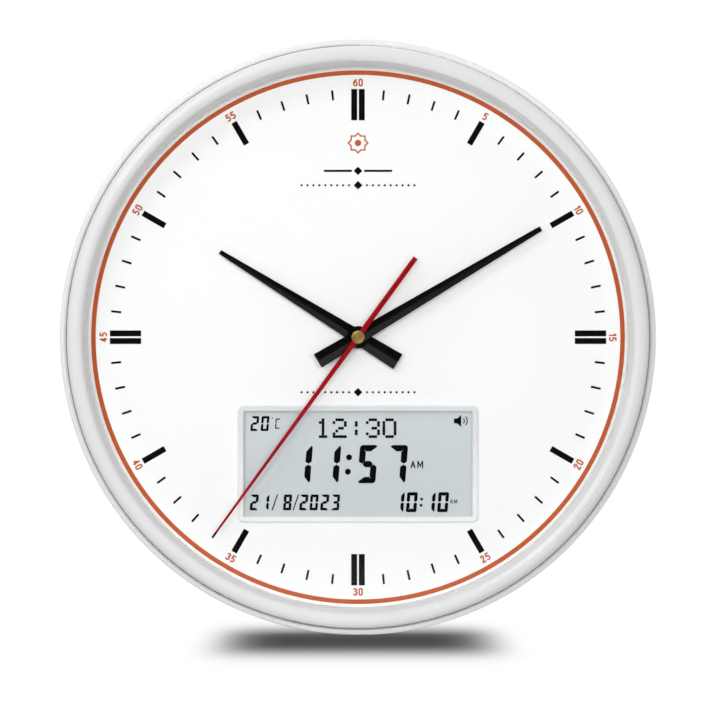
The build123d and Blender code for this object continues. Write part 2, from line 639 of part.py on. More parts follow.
def back_openings():
    through = BACK_INNER + OVERCUT
    window = MOVEMENT_SIZE + 2 * MOVEMENT_WINDOW_MARGIN
    cuts = [plate((window, window), MOVEMENT_CORNER, 0, through, (0, -MOVEMENT_DROP))]
    cuts += [block(HANGER_WINDOW, 0, through, HANGER_CENTRE)]
    cuts += [cut for at in case_screw_places() for cut in case_screw_bore(at)]
    bore = SMALL_SCREW_RADIUS + RUNNING_CLEARANCE
    for x, y, seat in small_screw_seats():
        cuts.append(disc(bore, seat - SMALL_SCREW_LENGTH - END_PLAY, seat, (x, y)))
    cuts += [disc(BUTTON_RADIUS + SLIDE_CLEARANCE, 0, through, at) for at in button_places()]
    cuts += [block(slide_slot(), 0, through, SLIDE_CENTRE)]
    cuts += grille_slots()
    cuts += [block((BAY_LENGTH, BAY_BREADTH), 0, BAY_TOP, BAY_CENTRE)]
    cuts += [block((BAY_LENGTH + 2 * DOOR_LEDGE, BAY_BREADTH + 2 * DOOR_LEDGE), 0, DOOR_INNER, BAY_CENTRE)]
    cuts += door_pockets()
    return cuts


def grille_slots():
    slots = []
    reach = int(GRILLE_RADIUS / GRILLE_SLOT_PITCH)
    for number in range(-reach, reach + 1):
        offset = number * GRILLE_SLOT_PITCH
        half = math.sqrt(GRILLE_RADIUS ** 2 - offset ** 2)
        size = (GRILLE_SLOT_WIDTH, 2 * half)
        slots.append(block(size, 0, BACK_INNER + OVERCUT, (SPEAKER_CENTRE[0] + offset, SPEAKER_CENTRE[1])))
    return slots


def front_bezel():
    """One domed ring: skirt in the back case, dome, slope down to the lens, and a seat for the lens."""
    ceiling = LENS_FRONT + BEZEL_CEILING
    brow_height = LENS_FRONT + BEZEL_BROW
    dome_edge = BEZEL_CREST - BEZEL_DOME_DROP
    crest = (BEZEL_OUTER - BEZEL_CREST_INSET, 0, BEZEL_CREST)
    brow = (VIEW_RADIUS + BEZEL_INNER_SLOPE, 0, brow_height)
    inner_leg = BEZEL_SEAT_RADIUS + BEZEL_WALL
    leg_end = LENS_BACK - LENS_LEG_DEPTH
    outer_side = [(SKIRT_INNER, BEZEL_SEAT), (SKIRT_OUTER, BEZEL_SEAT), (SKIRT_OUTER, RIM_TOP - GROOVE_DEPTH),
                  (BEZEL_OUTER, RIM_TOP - GROOVE_DEPTH), (BEZEL_OUTER, dome_edge)]
    lens_side = [(VIEW_RADIUS + BEZEL_INNER_SLOPE, brow_height), (VIEW_RADIUS, LENS_FRONT + BEZEL_LIP),
                 (VIEW_RADIUS, LENS_FRONT), (BEZEL_SEAT_RADIUS, LENS_FRONT), (BEZEL_SEAT_RADIUS, leg_end),
                 (inner_leg, leg_end), (inner_leg, ceiling), (BEZEL_OUTER - BEZEL_CORNER, ceiling),
                 (SKIRT_INNER, RIM_TOP + BEZEL_SHOULDER), (SKIRT_INNER, BEZEL_SEAT)]
    bezel = turned(
        Polyline(at_radius(outer_side)),
        TangentArc(crest, (BEZEL_OUTER, 0, dome_edge), tangent=(1, 0, 0)),
        TangentArc(crest, brow, tangent=(-1, 0, 0)),
        Polyline(at_radius(lens_side)),
    )
    for at in case_screw_places():
        bezel += disc(CASE_BOSS_RADIUS, CASE_BOSS_TOP, ceiling + CASE_BOSS_ROOT, at)
    pilot = CASE_SCREW_RADIUS + RUNNING_CLEARANCE
    return bezel - [disc(pilot, 0, CASE_SCREW_TIP + OVERCUT, at) for at in case_screw_places()]


def front_lens():
    return disc(LENS_RADIUS, LENS_BACK, LENS_FRONT)


def spacer_ring():
    return tube(VIEW_RADIUS, LENS_RADIUS, DIAL_FRONT, LENS_BACK)


# ================================================================ fasteners
def case_screw_places():
    step = 360 / CASE_SCREW_COUNT
    return [polar(SCREW_CIRCLE, 90 + number * step) for number in range(CASE_SCREW_COUNT)]


def case_screw_bore(at):
    """Stepped hole in the back case: room for the head, then for the shank."""
    return [disc(CASE_SCREW_HEAD_RADIUS + FIT_CLEARANCE, 0, CASE_SCREW_SEAT, at),
            disc(CASE_SCREW_RADIUS + HOLE_CLEARANCE, 0, CASE_BOSS_TOP + OVERCUT, at)]


def board_screw_places():
    x = MAIN_BOARD_WIDTH / 2 - BOARD_HOLE_INSET
    y = MAIN_BOARD_HEIGHT / 2 - BOARD_HOLE_INSET
    return [on_display(i * x, j * y) for i in (-1, 1) for j in (-1, 1)]


def hanger_screw_places():
    return [(i * HANGER_SCREW_SPACING / 2, HANGER_CENTRE[1]) for i in (-1, 1)]


def speaker_screw_places():
    step = 360 / SPEAKER_EAR_COUNT
    circle = SPEAKER_RADIUS + SPEAKER_EAR_OFFSET
    return [polar(circle, (number + 0.5) * step, SPEAKER_CENTRE) for number in range(SPEAKER_EAR_COUNT)]


def small_screw_seats():
    """Each small screw's place and the height its head rests on."""
    groups = ((board_screw_places(), BOARD_FRONT), (hanger_screw_places(), HANGER_BASE + HANGER_THICKNESS),
              (speaker_screw_places(), SPEAKER_RIM))
    return [(x, y, seat) for places, seat in groups for x, y in places]


def screw(shank_radius, length, head_radius, head_height):
    """A cross-head screw pointing down, its head standing on z = 0."""
    head = disc(head_radius, 0, head_height)
    head = fillet(head.faces().sort_by(Axis.Z)[-1].edges(), head_height * 0.4)
    body = head + disc(shank_radius, -length, 0)
    arm = (head_radius * 1.1, head_radius * 0.3)
    depth = head_height * 0.55
    cross = [block(size, head_height - depth, head_height) for size in (arm, arm[::-1])]
    return body - cross


def case_screws():
    """The case screws go in from the back, so they point towards the dial."""
    one = Rot(180, 0, 0) * screw(CASE_SCREW_RADIUS, CASE_SCREW_LENGTH, CASE_SCREW_HEAD_RADIUS,
                                 CASE_SCREW_HEAD_HEIGHT)
    return [Pos(x, y, CASE_SCREW_SEAT) * one for x, y in case_screw_places()]


def small_screws():
    one = screw(SMALL_SCREW_RADIUS, SMALL_SCREW_LENGTH, SMALL_SCREW_HEAD_RADIUS, SMALL_SCREW_HEAD_HEIGHT)
    return [Pos(*seat) * one for seat in small_screw_seats()]


def hanger_plate():
    size = (HANGER_WIDTH, HANGER_LENGTH)
    steel = plate(size, HANGER_CORNER, HANGER_BASE, HANGER_BASE + HANGER_THICKNESS, HANGER_CENTRE)
    slot_end = (0, HANGER_HEIGHT + HANGER_SLOT_LENGTH)
    slot = raised(stroke((0, HANGER_HEIGHT), slot_end, HANGER_SLOT_WIDTH), 0, BEZEL_SEAT)
    cuts = [disc(HANGER_HOLE_RADIUS, 0, BEZEL_SEAT, (0, HANGER_HEIGHT)), slot]
    cuts += [disc(SMALL_SCREW_RADIUS + HOLE_CLEARANCE, 0, BEZEL_SEAT, at) for at in hanger_screw_places()]
    return steel - cuts


# ================================================================ dial
def dial_plate():
    neck = 2 * (FRAME_NECK + FIT_CLEARANCE)
    dial = disc(LENS_RADIUS, DIAL_BACK, DIAL_FRONT)
    cuts = [disc(BUSH_RADIUS + HOLE_CLEARANCE, DIAL_BACK, DIAL_FRONT),
            block((DISPLAY_WIDTH + neck, DISPLAY_HEIGHT + neck), DIAL_BACK, DIAL_FRONT, (0, -DISPLAY_DROP))]
    cuts += [disc(PEG_RADIUS + RUNNING_CLEARANCE, DIAL_BACK, DIAL_FRONT, at) for at in peg_places()]
    return dial - cuts


def minute_marks():
    """Sixty marks: a tick each minute, a bar each five and a double bar each fifteen."""
    marks = []
    for minute in range(60):
        turn = clockwise(6 * minute)
        if minute % 15 == 0:
            offset = (BAR_WIDTH + DOUBLE_BAR_GAP) / 2
            middle = BAR_OUTER - DOUBLE_BAR_LENGTH / 2
            bar = Rectangle(BAR_WIDTH, DOUBLE_BAR_LENGTH)
            marks += [turn * Pos(side * offset, middle) * bar for side in (-1, 1)]
        elif minute % 5 == 0:
            marks.append(turn * Pos(0, BAR_OUTER - BAR_LENGTH / 2) * Rectangle(BAR_WIDTH, BAR_LENGTH))
        else:
            marks.append(turn * Pos(0, BAR_OUTER - TICK_LENGTH / 2) * Rectangle(TICK_WIDTH, TICK_LENGTH))
    return marks


def lozenge(height):
    return Pos(0, height) * Rot(0, 0, 45) * Rectangle(LOZENGE_SIZE, LOZENGE_SIZE)


def beaded_rule(height):
    """A row of small diamonds, largest in the middle."""
    beads = []
    for number in range(1, BEAD_COUNT // 2 + 1):
        for side in (-1, 1):
            x = side * (LOZENGE_SIZE / 2 + number * BEAD_PITCH)
            beads.append(Pos(x, height) * Rot(0, 0, 45) * Rectangle(BEAD_SIZE, BEAD_SIZE))
    return beads + [lozenge(height)]


def split_rule(height):
    """Two thin lines with a diamond between them."""
    length = (FIRST_RULE_LENGTH - 2 * LOZENGE_SIZE) / 2
    x = LOZENGE_SIZE + length / 2
    return [Pos(side * x, height) * Rectangle(length, TICK_WIDTH) for side in (-1, 1)] + [lozenge(height)]


def dial_print_black():
    shapes = minute_marks() + split_rule(BAR_OUTER - FIRST_RULE_INSET)
    shapes += beaded_rule(BAR_OUTER - SECOND_RULE_INSET)
    shapes += beaded_rule(DISPLAY_TOP + FRAME_BORDER + LOWER_RULE_GAP)
    return [raised(shape, DIAL_FRONT, DIAL_FRONT + PRINT_THICKNESS) for shape in shapes]


def ornament():
    """Outline of an eight-pointed star, made of two squares."""
    side = ORNAMENT_RADIUS * math.sqrt(2)
    outer = Rectangle(side, side) + Rot(0, 0, 45) * Rectangle(side, side)
    side -= 2 * ORNAMENT_STROKE
    inner = Rectangle(side, side) + Rot(0, 0, 45) * Rectangle(side, side)
    return Pos(0, BAR_OUTER - ORNAMENT_INSET) * (outer - inner + Circle(ORNAMENT_RADIUS * 0.3))


def dial_print_orange():
    outer = VIEW_RADIUS - RING_MARGIN
    shapes = [Circle(outer) - Circle(outer - RING_WIDTH), ornament()]
    radius = outer - RING_WIDTH - NUMERAL_GAP - NUMERAL_HEIGHT / 2
    for hour in range(1, 13):
        minute = 5 * hour
        upright = Rot(0, 0, 180) if 20 <= minute <= 40 else Rot(0, 0, 0)
        place = clockwise(6 * minute) * Pos(0, radius) * upright
        shapes.append(place * numeral(str(minute), NUMERAL_HEIGHT, NUMERAL_STROKE))
    return [raised(shape, DIAL_FRONT, DIAL_FRONT + PRINT_THICKNESS) for shape in shapes]


# ================================================================ stroke lettering
# Each character is a list of strokes in a box one high and GLYPH_WIDTH wide: two points make a
# straight stroke and three points an arc.
GLYPH_WIDTH = 0.46
GLYPHS = {
    "0": [[(0, .27), (0, .73)], [(0, .73), (.23, 1), (.46, .73)], [(.46, .73), (.46, .27)],
          [(.46, .27), (.23, 0), (0, .27)]],
    "1": [[(.06, .8), (.26, 1)], [(.26, 1), (.26, 0)]],
    "2": [[(.02, .78), (.24, 1), (.44, .76)], [(.44, .76), (0, 0)], [(0, 0), (.46, 0)]],
    "3": [[(.02, .86), (.42, .78), (.2, .54)], [(.2, .54), (.46, .28), (.23, 0)],
          [(.23, 0), (.1, .03), (0, .14)]],
    "4": [[(.34, 0), (.34, 1)], [(.34, 1), (0, .26)], [(0, .26), (.48, .26)]],
    "5": [[(.43, 1), (.06, 1)], [(.06, 1), (.02, .56)], [(.02, .56), (.46, .33), (.02, .08)]],
    "6": [[(.42, .9), (.1, .76), (0, .3)], [(0, .3), (.23, .58), (.46, .3)], [(.46, .3), (.23, 0), (0, .3)]],
    "A": [[(0, 0), (.3, 1)], [(.3, 1), (.6, 0)], [(.12, .36), (.48, .36)]],
    "M": [[(0, 0), (0, 1)], [(0, 1), (.35, .25)], [(.35, .25), (.7, 1)], [(.7, 1), (.7, 0)]],
}
GLYPH_SPACE = 0.3


def glyph(character, height, width):
    shape = Sketch()
    for points in GLYPHS[character]:
        scaled = [((height - width) * x, (height - width) * y + width / 2) for x, y in points]
        shape += stroke(*scaled, width) if len(scaled) == 2 else bend(*scaled, width)
    return shape


def glyph_box(character):
    return max(x for points in GLYPHS[character] for x, y in points)


def numeral(text, height, width):
    """The text in stroke characters, centred on the origin."""
    widths = [glyph_box(character) * (height - width) + width for character in text]
    gap = (GLYPH_SPACE * height - width)
    x = -(sum(widths) + gap * (len(text) - 1)) / 2
    shape = Sketch()
    for character, advance in zip(text, widths):
        shape += Pos(x + width / 2, -height / 2) * glyph(character, height, width)
        x += advance + gap
    return shape


# ================================================================ hands
def folded_blade(start, end, start_width, end_width, base):
    """A blade along y, with a flat underside and two facets that meet in a ridge."""
    ends = []
    for y, width in ((start, start_width), (end, end_width)):
        half = width / 2
        edge = base + SHEET_THICKNESS
        outline = [(-half, y, base), (half, y, base), (half, y, edge), (0, y, edge + HAND_FOLD * half),
                   (-half, y, edge)]
        ends.append(make_face(Polyline(outline, close=True)))
    return loft(ends, ruled=True)


def hand(angle, blades, hub_radius, base, bore):
    shape = disc(hub_radius, base, base + SHEET_THICKNESS)
    for start, end, start_width, end_width in blades:
        shape += folded_blade(start, end, start_width, end_width, base)
    shape -= disc(bore, base, base + HAND_STEP)
    return clockwise(angle) * shape


def hour_hand():
    blades = [(-HOUR_TAIL, HOUR_LENGTH, HOUR_TAIL_WIDTH, HOUR_TIP_WIDTH)]
    return hand(HOUR_ANGLE, blades, HUB_RADIUS, HOUR_HAND_BASE, HOUR_TUBE[1] + PRESS_CLEARANCE)


def minute_hand():
    blades = [(-MINUTE_TAIL, MINUTE_LENGTH, MINUTE_TAIL_WIDTH, MINUTE_TIP_WIDTH)]
    return hand(MINUTE_ANGLE, blades, HUB_RADIUS, MINUTE_HAND_BASE, MINUTE_TUBE[1] + PRESS_CLEARANCE)


def second_hand():
    blades = [(-SECOND_TAIL, 0, SECOND_TAIL_WIDTH, SECOND_TAIL_WIDTH),
              (0, SECOND_LENGTH, SECOND_TAIL_WIDTH, SECOND_TIP_WIDTH)]
    return hand(SECOND_ANGLE, blades, SECOND_HUB_RADIUS, SECOND_HAND_BASE,
                SECOND_SHAFT_RADIUS + PRESS_CLEARANCE)


def second_hand_cap():
    """Turned brass cap that covers the end of the second shaft."""
    radius = CAP_DIAMETER / 2
    base = CAP_BASE + HAND_FOLD * SECOND_TAIL_WIDTH / 2
    cap = disc(radius, base, CAP_TOP)
    cap = chamfer(cap.faces().sort_by(Axis.Z)[-1].edges(), CAP_CHAMFER)
    groove = tube(radius * 0.45, radius * 0.55, CAP_TOP - CAP_GROOVE_DEPTH, CAP_TOP)
    return cap - groove - disc(SECOND_SHAFT_RADIUS + PRESS_CLEARANCE, base, SHAFT_TOP + PRESS_CLEARANCE)


# ================================================================ movement
def gear(teeth, module, direction, level, top, at=(0, 0), pinion=False):
    """A wheel with a tooth pointing in the given direction."""
    tip, root, pitch_share, tip_share, root_share = PINION_TOOTH if pinion else WHEEL_TOOTH
    radius = teeth * module / 2
    pitch = 360 / teeth
    flank = [(radius - root * module, root_share), (radius, pitch_share), (radius + tip * module, tip_share)]
    points = []
    for tooth in range(teeth):
        middle = direction + tooth * pitch
        points += [polar(r, middle - share * pitch) for r, share in flank]
        points += [polar(r, middle + share * pitch) for r, share in reversed(flank)]
    face = make_face(Polyline(points, close=True))
    return Pos(at[0], at[1]) * raised(face, MOVEMENT_BACK + level, MOVEMENT_BACK + top)


def gap(direction, teeth):
    """Direction for gear() that puts a gap between two teeth in the given direction."""
    return direction + 180 / teeth


def module_of(distance, first_teeth, second_teeth):
    return 2 * distance / (first_teeth + second_teeth)


def in_movement(radius, bottom, top, at=(0, 0)):
    return disc(radius, MOVEMENT_BACK + bottom, MOVEMENT_BACK + top, at)


def arbor(at):
    return in_movement(ARBOR_RADIUS, ARBOR_BOTTOM, ARBOR_TOP, at)


def rotor():
    module = module_of(ROTOR_DISTANCE, ROTOR_PINION_TEETH, INTERMEDIATE_TEETH)
    middle = STATOR_LEVEL + STATOR_THICKNESS / 2
    magnet = in_movement(ROTOR_RADIUS, middle - ROTOR_THICKNESS / 2, middle + ROTOR_THICKNESS / 2, ROTOR_AT)
    pinion = gear(ROTOR_PINION_TEETH, module, ROTOR_DIRECTION + 180, INTERMEDIATE_LEVEL - PINION_OVERHANG,
                  INTERMEDIATE_LEVEL + WHEEL_THICKNESS + PINION_OVERHANG, ROTOR_AT, True)
    return magnet + pinion + arbor(ROTOR_AT)


def intermediate_wheel():
    wheel_module = module_of(ROTOR_DISTANCE, ROTOR_PINION_TEETH, INTERMEDIATE_TEETH)
    pinion_module = module_of(INTERMEDIATE_DISTANCE, INTERMEDIATE_PINION_TEETH, SECOND_TEETH)
    wheel = gear(INTERMEDIATE_TEETH, wheel_module, gap(ROTOR_DIRECTION, INTERMEDIATE_TEETH),
                 INTERMEDIATE_LEVEL, INTERMEDIATE_LEVEL + WHEEL_THICKNESS, INTERMEDIATE_AT)
    pinion = gear(INTERMEDIATE_PINION_TEETH, pinion_module, INTERMEDIATE_DIRECTION + 180, INTERMEDIATE_LEVEL,
                  SECOND_LEVEL + WHEEL_THICKNESS + PINION_OVERHANG, INTERMEDIATE_AT, True)
    return wheel + pinion + arbor(INTERMEDIATE_AT)


def second_wheel():
    wheel_module = module_of(INTERMEDIATE_DISTANCE, INTERMEDIATE_PINION_TEETH, SECOND_TEETH)
    pinion_module = module_of(THIRD_DISTANCE, SECOND_PINION_TEETH, THIRD_TEETH)
    wheel = gear(SECOND_TEETH, wheel_module, gap(INTERMEDIATE_DIRECTION, SECOND_TEETH),
                 SECOND_LEVEL, SECOND_LEVEL + WHEEL_THICKNESS)
    pinion = gear(SECOND_PINION_TEETH, pinion_module, THIRD_DIRECTION, SECOND_LEVEL,
                  THIRD_LEVEL + WHEEL_THICKNESS + PINION_OVERHANG, pinion=True)
    return wheel + pinion + disc(SECOND_SHAFT_RADIUS, MOVEMENT_BACK + ARBOR_BOTTOM, SHAFT_TOP)


def third_wheel():
    wheel_module = module_of(THIRD_DISTANCE, SECOND_PINION_TEETH, THIRD_TEETH)
    pinion_module = module_of(THIRD_DISTANCE, THIRD_PINION_TEETH, CENTRE_TEETH)
    wheel = gear(THIRD_TEETH, wheel_module, gap(THIRD_DIRECTION + 180, THIRD_TEETH),
                 THIRD_LEVEL, THIRD_LEVEL + WHEEL_THICKNESS, THIRD_AT)
    pinion = gear(THIRD_PINION_TEETH, pinion_module, THIRD_DIRECTION + 180, THIRD_LEVEL,
                  CENTRE_LEVEL + WHEEL_THICKNESS + PINION_OVERHANG, THIRD_AT, True)
    return wheel + pinion + arbor(THIRD_AT)


def centre_wheel():
    """Turns once an hour and carries the cannon pinion by friction on its tube."""
    module = module_of(THIRD_DISTANCE, THIRD_PINION_TEETH, CENTRE_TEETH)
    wheel = gear(CENTRE_TEETH, module, gap(THIRD_DIRECTION, CENTRE_TEETH),
                 CENTRE_LEVEL, CENTRE_LEVEL + WHEEL_THICKNESS)
    sleeve = in_movement(CENTRE_TUBE[1], CENTRE_LEVEL, MOVEMENT_DEPTH)
    return wheel + sleeve - in_movement(CENTRE_TUBE[0], 0, MOVEMENT_DEPTH)


def cannon_pinion():
    module = module_of(MINUTE_DISTANCE, CANNON_TEETH, MINUTE_TEETH)
    pinion = gear(CANNON_TEETH, module, MINUTE_DIRECTION, MINUTE_LEVEL - PINION_OVERHANG,
                  MINUTE_LEVEL + WHEEL_THICKNESS + PINION_OVERHANG, pinion=True)
    sleeve = disc(MINUTE_TUBE[1], MOVEMENT_BACK + MINUTE_LEVEL, MINUTE_TUBE_TOP)
    return pinion + sleeve - disc(MINUTE_TUBE[0], 0, MINUTE_TUBE_TOP)


def minute_wheel():
    wheel_module = module_of(MINUTE_DISTANCE, CANNON_TEETH, MINUTE_TEETH)
    pinion_module = module_of(MINUTE_DISTANCE, MINUTE_PINION_TEETH, HOUR_TEETH)
    wheel = gear(MINUTE_TEETH, wheel_module, gap(MINUTE_DIRECTION + 180, MINUTE_TEETH),
                 MINUTE_LEVEL, MINUTE_LEVEL + WHEEL_THICKNESS, MINUTE_AT)
    pinion = gear(MINUTE_PINION_TEETH, pinion_module, MINUTE_DIRECTION + 180, MINUTE_LEVEL,
                  HOUR_LEVEL + WHEEL_THICKNESS + PINION_OVERHANG, MINUTE_AT, True)
    return wheel + pinion + arbor(MINUTE_AT)


def hour_wheel():
    module = module_of(MINUTE_DISTANCE, MINUTE_PINION_TEETH, HOUR_TEETH)
    wheel = gear(HOUR_TEETH, module, gap(MINUTE_DIRECTION, HOUR_TEETH),
                 HOUR_LEVEL, HOUR_LEVEL + WHEEL_THICKNESS)
    sleeve = disc(HOUR_TUBE[1], MOVEMENT_BACK + HOUR_LEVEL, HOUR_TUBE_TOP)
    return wheel + sleeve - disc(HOUR_TUBE[0], 0, HOUR_TUBE_TOP)


def setting_knob():
    """Knurled knob behind the movement, with a shaft and a pinion in mesh with the minute wheel."""
    module = module_of(MINUTE_DISTANCE, KNOB_PINION_TEETH, MINUTE_TEETH)
    offset = (KNOB_DIRECTION - MINUTE_DIRECTION - 180) % (360 / MINUTE_TEETH)
    tooth = KNOB_DIRECTION + 180 + offset * MINUTE_TEETH / KNOB_PINION_TEETH
    pinion = gear(KNOB_PINION_TEETH, module, tooth, MINUTE_LEVEL - PINION_OVERHANG,
                  MINUTE_LEVEL + WHEEL_THICKNESS + PINION_OVERHANG, KNOB_AT, True)
    grip = gear(KNURL_COUNT, 2 * KNOB_RADIUS / (KNURL_COUNT + 2), 0, -KNOB_GAP - KNOB_THICKNESS, -KNOB_GAP,
                KNOB_AT)
    shaft = in_movement(KNOB_SHAFT_RADIUS, -KNOB_GAP, MINUTE_LEVEL, KNOB_AT)
    return pinion + grip + shaft + in_movement(ARBOR_RADIUS, MINUTE_LEVEL, ARBOR_TOP, KNOB_AT)


def stator():
    """Iron plate round the rotor, with two legs and the core that runs through the coil."""
    x_left = ROTOR_AT[0] - ROTOR_RADIUS - STATOR_GAP - STATOR_NECK
    x_right = x_left + STATOR_LENGTH
    y_low = ROTOR_AT[1] - ROTOR_RADIUS - STATOR_GAP - STATOR_NECK
    y_top = ROTOR_AT[1] + ROTOR_RADIUS + STATOR_GAP + STATOR_NECK
    y_core = y_top + COIL_RADIUS + COIL_FLANGE + STATOR_NECK
    y_end = y_core + CORE_WIDTH / 2
    outline = (Pos((x_left + x_right) / 2, (y_low + y_end) / 2) * Rectangle(STATOR_LENGTH, y_end - y_low)
               - Pos((x_left + x_right) / 2, (y_top + y_core - CORE_WIDTH / 2) / 2)
               * Rectangle(STATOR_LENGTH - 2 * STATOR_LEG_WIDTH, y_core - CORE_WIDTH / 2 - y_top))
    outline -= Pos(*ROTOR_AT) * Circle(ROTOR_RADIUS + STATOR_GAP)
    bottom = MOVEMENT_BACK + STATOR_LEVEL
    return raised(outline, bottom, bottom + STATOR_THICKNESS)


def coil():
    """Winding on a bobbin, slid over the stator's core."""
    x_left = ROTOR_AT[0] - ROTOR_RADIUS - STATOR_GAP - STATOR_NECK + STATOR_LEG_WIDTH + FIT_CLEARANCE
    length = STATOR_LENGTH - 2 * STATOR_LEG_WIDTH - 2 * FIT_CLEARANCE
    y = ROTOR_AT[1] + ROTOR_RADIUS + STATOR_GAP + 2 * STATOR_NECK + COIL_RADIUS + COIL_FLANGE
    z = MOVEMENT_BACK + STATOR_LEVEL + STATOR_THICKNESS / 2
    across = Rot(0, 90, 0)
    winding = across * Cylinder(COIL_RADIUS - COIL_FLANGE, length)
    for end in (-1, 1):
        winding += Pos(end * (length - COIL_FLANGE) / 2, 0, 0) * across * Cylinder(COIL_RADIUS, COIL_FLANGE)
    bore = Box(length, CORE_WIDTH + 2 * RUNNING_CLEARANCE, STATOR_THICKNESS + 2 * RUNNING_CLEARANCE)
    return Pos(x_left + length / 2, y, z) * (winding - bore)


def movement_board():
    bottom = MOVEMENT_BACK + MOVEMENT_WALL + BOARD_POST_HEIGHT
    board = block(MOVEMENT_BOARD_SIZE, bottom, bottom + BOARD_THICKNESS, MOVEMENT_BOARD_CENTRE)
    face = bottom + BOARD_THICKNESS
    chip = disc(MOVEMENT_CHIP_RADIUS, face, face + MOVEMENT_CHIP_HEIGHT, MOVEMENT_BOARD_CENTRE)
    return board + fillet(chip.faces().sort_by(Axis.Z)[-1].edges(), MOVEMENT_CHIP_EDGE)


def movement_outline(bottom, top):
    return plate((MOVEMENT_SIZE, MOVEMENT_SIZE), MOVEMENT_CORNER, MOVEMENT_BACK + bottom, MOVEMENT_BACK + top,
                 (0, -MOVEMENT_DROP))


def train_room(bottom, top):
    size = (MOVEMENT_SIZE - 2 * MOVEMENT_WALL, TRAIN_TOP - TRAIN_BOTTOM)
    return block(size, MOVEMENT_BACK + bottom, MOVEMENT_BACK + top, (0, (TRAIN_TOP + TRAIN_BOTTOM) / 2))


def cell_room(bottom, top):
    size = (MOVEMENT_SIZE - 2 * MOVEMENT_WALL, CELL_BAY_HEIGHT)
    return block(size, MOVEMENT_BACK + bottom, MOVEMENT_BACK + top, (0, MOVEMENT_CELL_Y))


def pivot_places():
    return [ROTOR_AT, INTERMEDIATE_AT, THIRD_AT, MINUTE_AT]


def movement_back_case():
    case = movement_outline(0, MOVEMENT_SPLIT)
    case -= [train_room(MOVEMENT_WALL, MOVEMENT_SPLIT), cell_room(0, MOVEMENT_SPLIT)]
    boss_top = MOVEMENT_WALL + PIVOT_BOSS_HEIGHT
    for at in pivot_places() + [(0, 0)]:
        case += in_movement(PIVOT_BOSS_RADIUS, MOVEMENT_WALL, boss_top, at)
    stator_right = ROTOR_AT[0] + STATOR_LENGTH - ROTOR_RADIUS - STATOR_GAP - STATOR_NECK
    for x in (ROTOR_AT[0] + 2 * ROTOR_RADIUS, stator_right - STATOR_LEG_WIDTH / 2):
        case += in_movement(MOVEMENT_POST_RADIUS, MOVEMENT_WALL, STATOR_LEVEL, (x, ROTOR_AT[1]))
    for side in (-1, 1):
        post = (MOVEMENT_BOARD_CENTRE[0] + side * MOVEMENT_BOARD_SIZE[0] / 3, MOVEMENT_BOARD_CENTRE[1])
        case += in_movement(MOVEMENT_POST_RADIUS, MOVEMENT_WALL, MOVEMENT_WALL + BOARD_POST_HEIGHT, post)
    pivot_floor = boss_top - PIVOT_DEPTH - END_PLAY
    cuts = [in_movement(ARBOR_RADIUS + RUNNING_CLEARANCE, pivot_floor, boss_top, at) for at in pivot_places()]
    cuts += [in_movement(SECOND_SHAFT_RADIUS + RUNNING_CLEARANCE, pivot_floor, boss_top)]
    cuts += [in_movement(KNOB_SHAFT_RADIUS + RUNNING_CLEARANCE, 0, boss_top, KNOB_AT)]
    return case - cuts - polarity_marks()


def polarity_marks():
    """A plus and a minus sunk into the movement's back, above the ends of its cell."""
    x = MOVEMENT_SIZE / 2 - MOVEMENT_WALL - MARK_SIZE
    y = MOVEMENT_CELL_Y + CELL_BAY_HEIGHT / 2 + MARK_SIZE
    bar = (MARK_SIZE, MARK_STROKE)
    base, top = MOVEMENT_BACK, MOVEMENT_BACK + MARK_HEIGHT
    return [block(bar, base, top, (x, y)), block(bar[::-1], base, top, (x, y)), block(bar, base, top, (-x, y))]


def movement_front_case():
    inner = MOVEMENT_DEPTH - MOVEMENT_PLATE
    case = movement_outline(MOVEMENT_SPLIT, MOVEMENT_DEPTH)
    case -= [train_room(MOVEMENT_SPLIT, inner), cell_room(MOVEMENT_SPLIT, inner)]
    cuts = [in_movement(ARBOR_RADIUS + RUNNING_CLEARANCE, inner, inner + PIVOT_DEPTH + END_PLAY, at)
            for at in pivot_places() + [KNOB_AT]]
    cuts += [in_movement(BUSH_RADIUS + PRESS_CLEARANCE, inner, MOVEMENT_DEPTH)]
    return case - cuts


def threaded_bush():
    """Brass sleeve fixed in the front case; the nut on it clamps the movement to the dial."""
    inner = MOVEMENT_DEPTH - MOVEMENT_PLATE
    flange = in_movement(BUSH_FLANGE_RADIUS, inner - BUSH_FLANGE_THICKNESS, inner)
    sleeve = disc(BUSH_RADIUS, MOVEMENT_BACK + inner - BUSH_FLANGE_THICKNESS, BUSH_TOP)
    return flange + sleeve - disc(BUSH_BORE, 0, BUSH_TOP)


def fixing_nut():
    hexagon = RegularPolygon(NUT_ACROSS_FLATS / 2, 6, major_radius=False)
    return raised(hexagon, DIAL_FRONT, NUT_TOP) - disc(BUSH_RADIUS + RUNNING_CLEARANCE, DIAL_FRONT, NUT_TOP)


def fixing_washer():
    return tube(BUSH_RADIUS + HOLE_CLEARANCE, WASHER_RADIUS, MOVEMENT_FRONT, DIAL_BACK)


# ================================================================ display
def on_display(x, y):
    """Place of a point given from the middle of the visible display."""
    return (x, y - DISPLAY_DROP)


def peg_places():
    x = DISPLAY_WIDTH / 2 + FRAME_BORDER / 2 + FRAME_NECK / 2 + FIT_CLEARANCE / 2
    return [on_display(i * x, j * DISPLAY_HEIGHT / 3) for i in (-1, 1) for j in (-1, 1)]


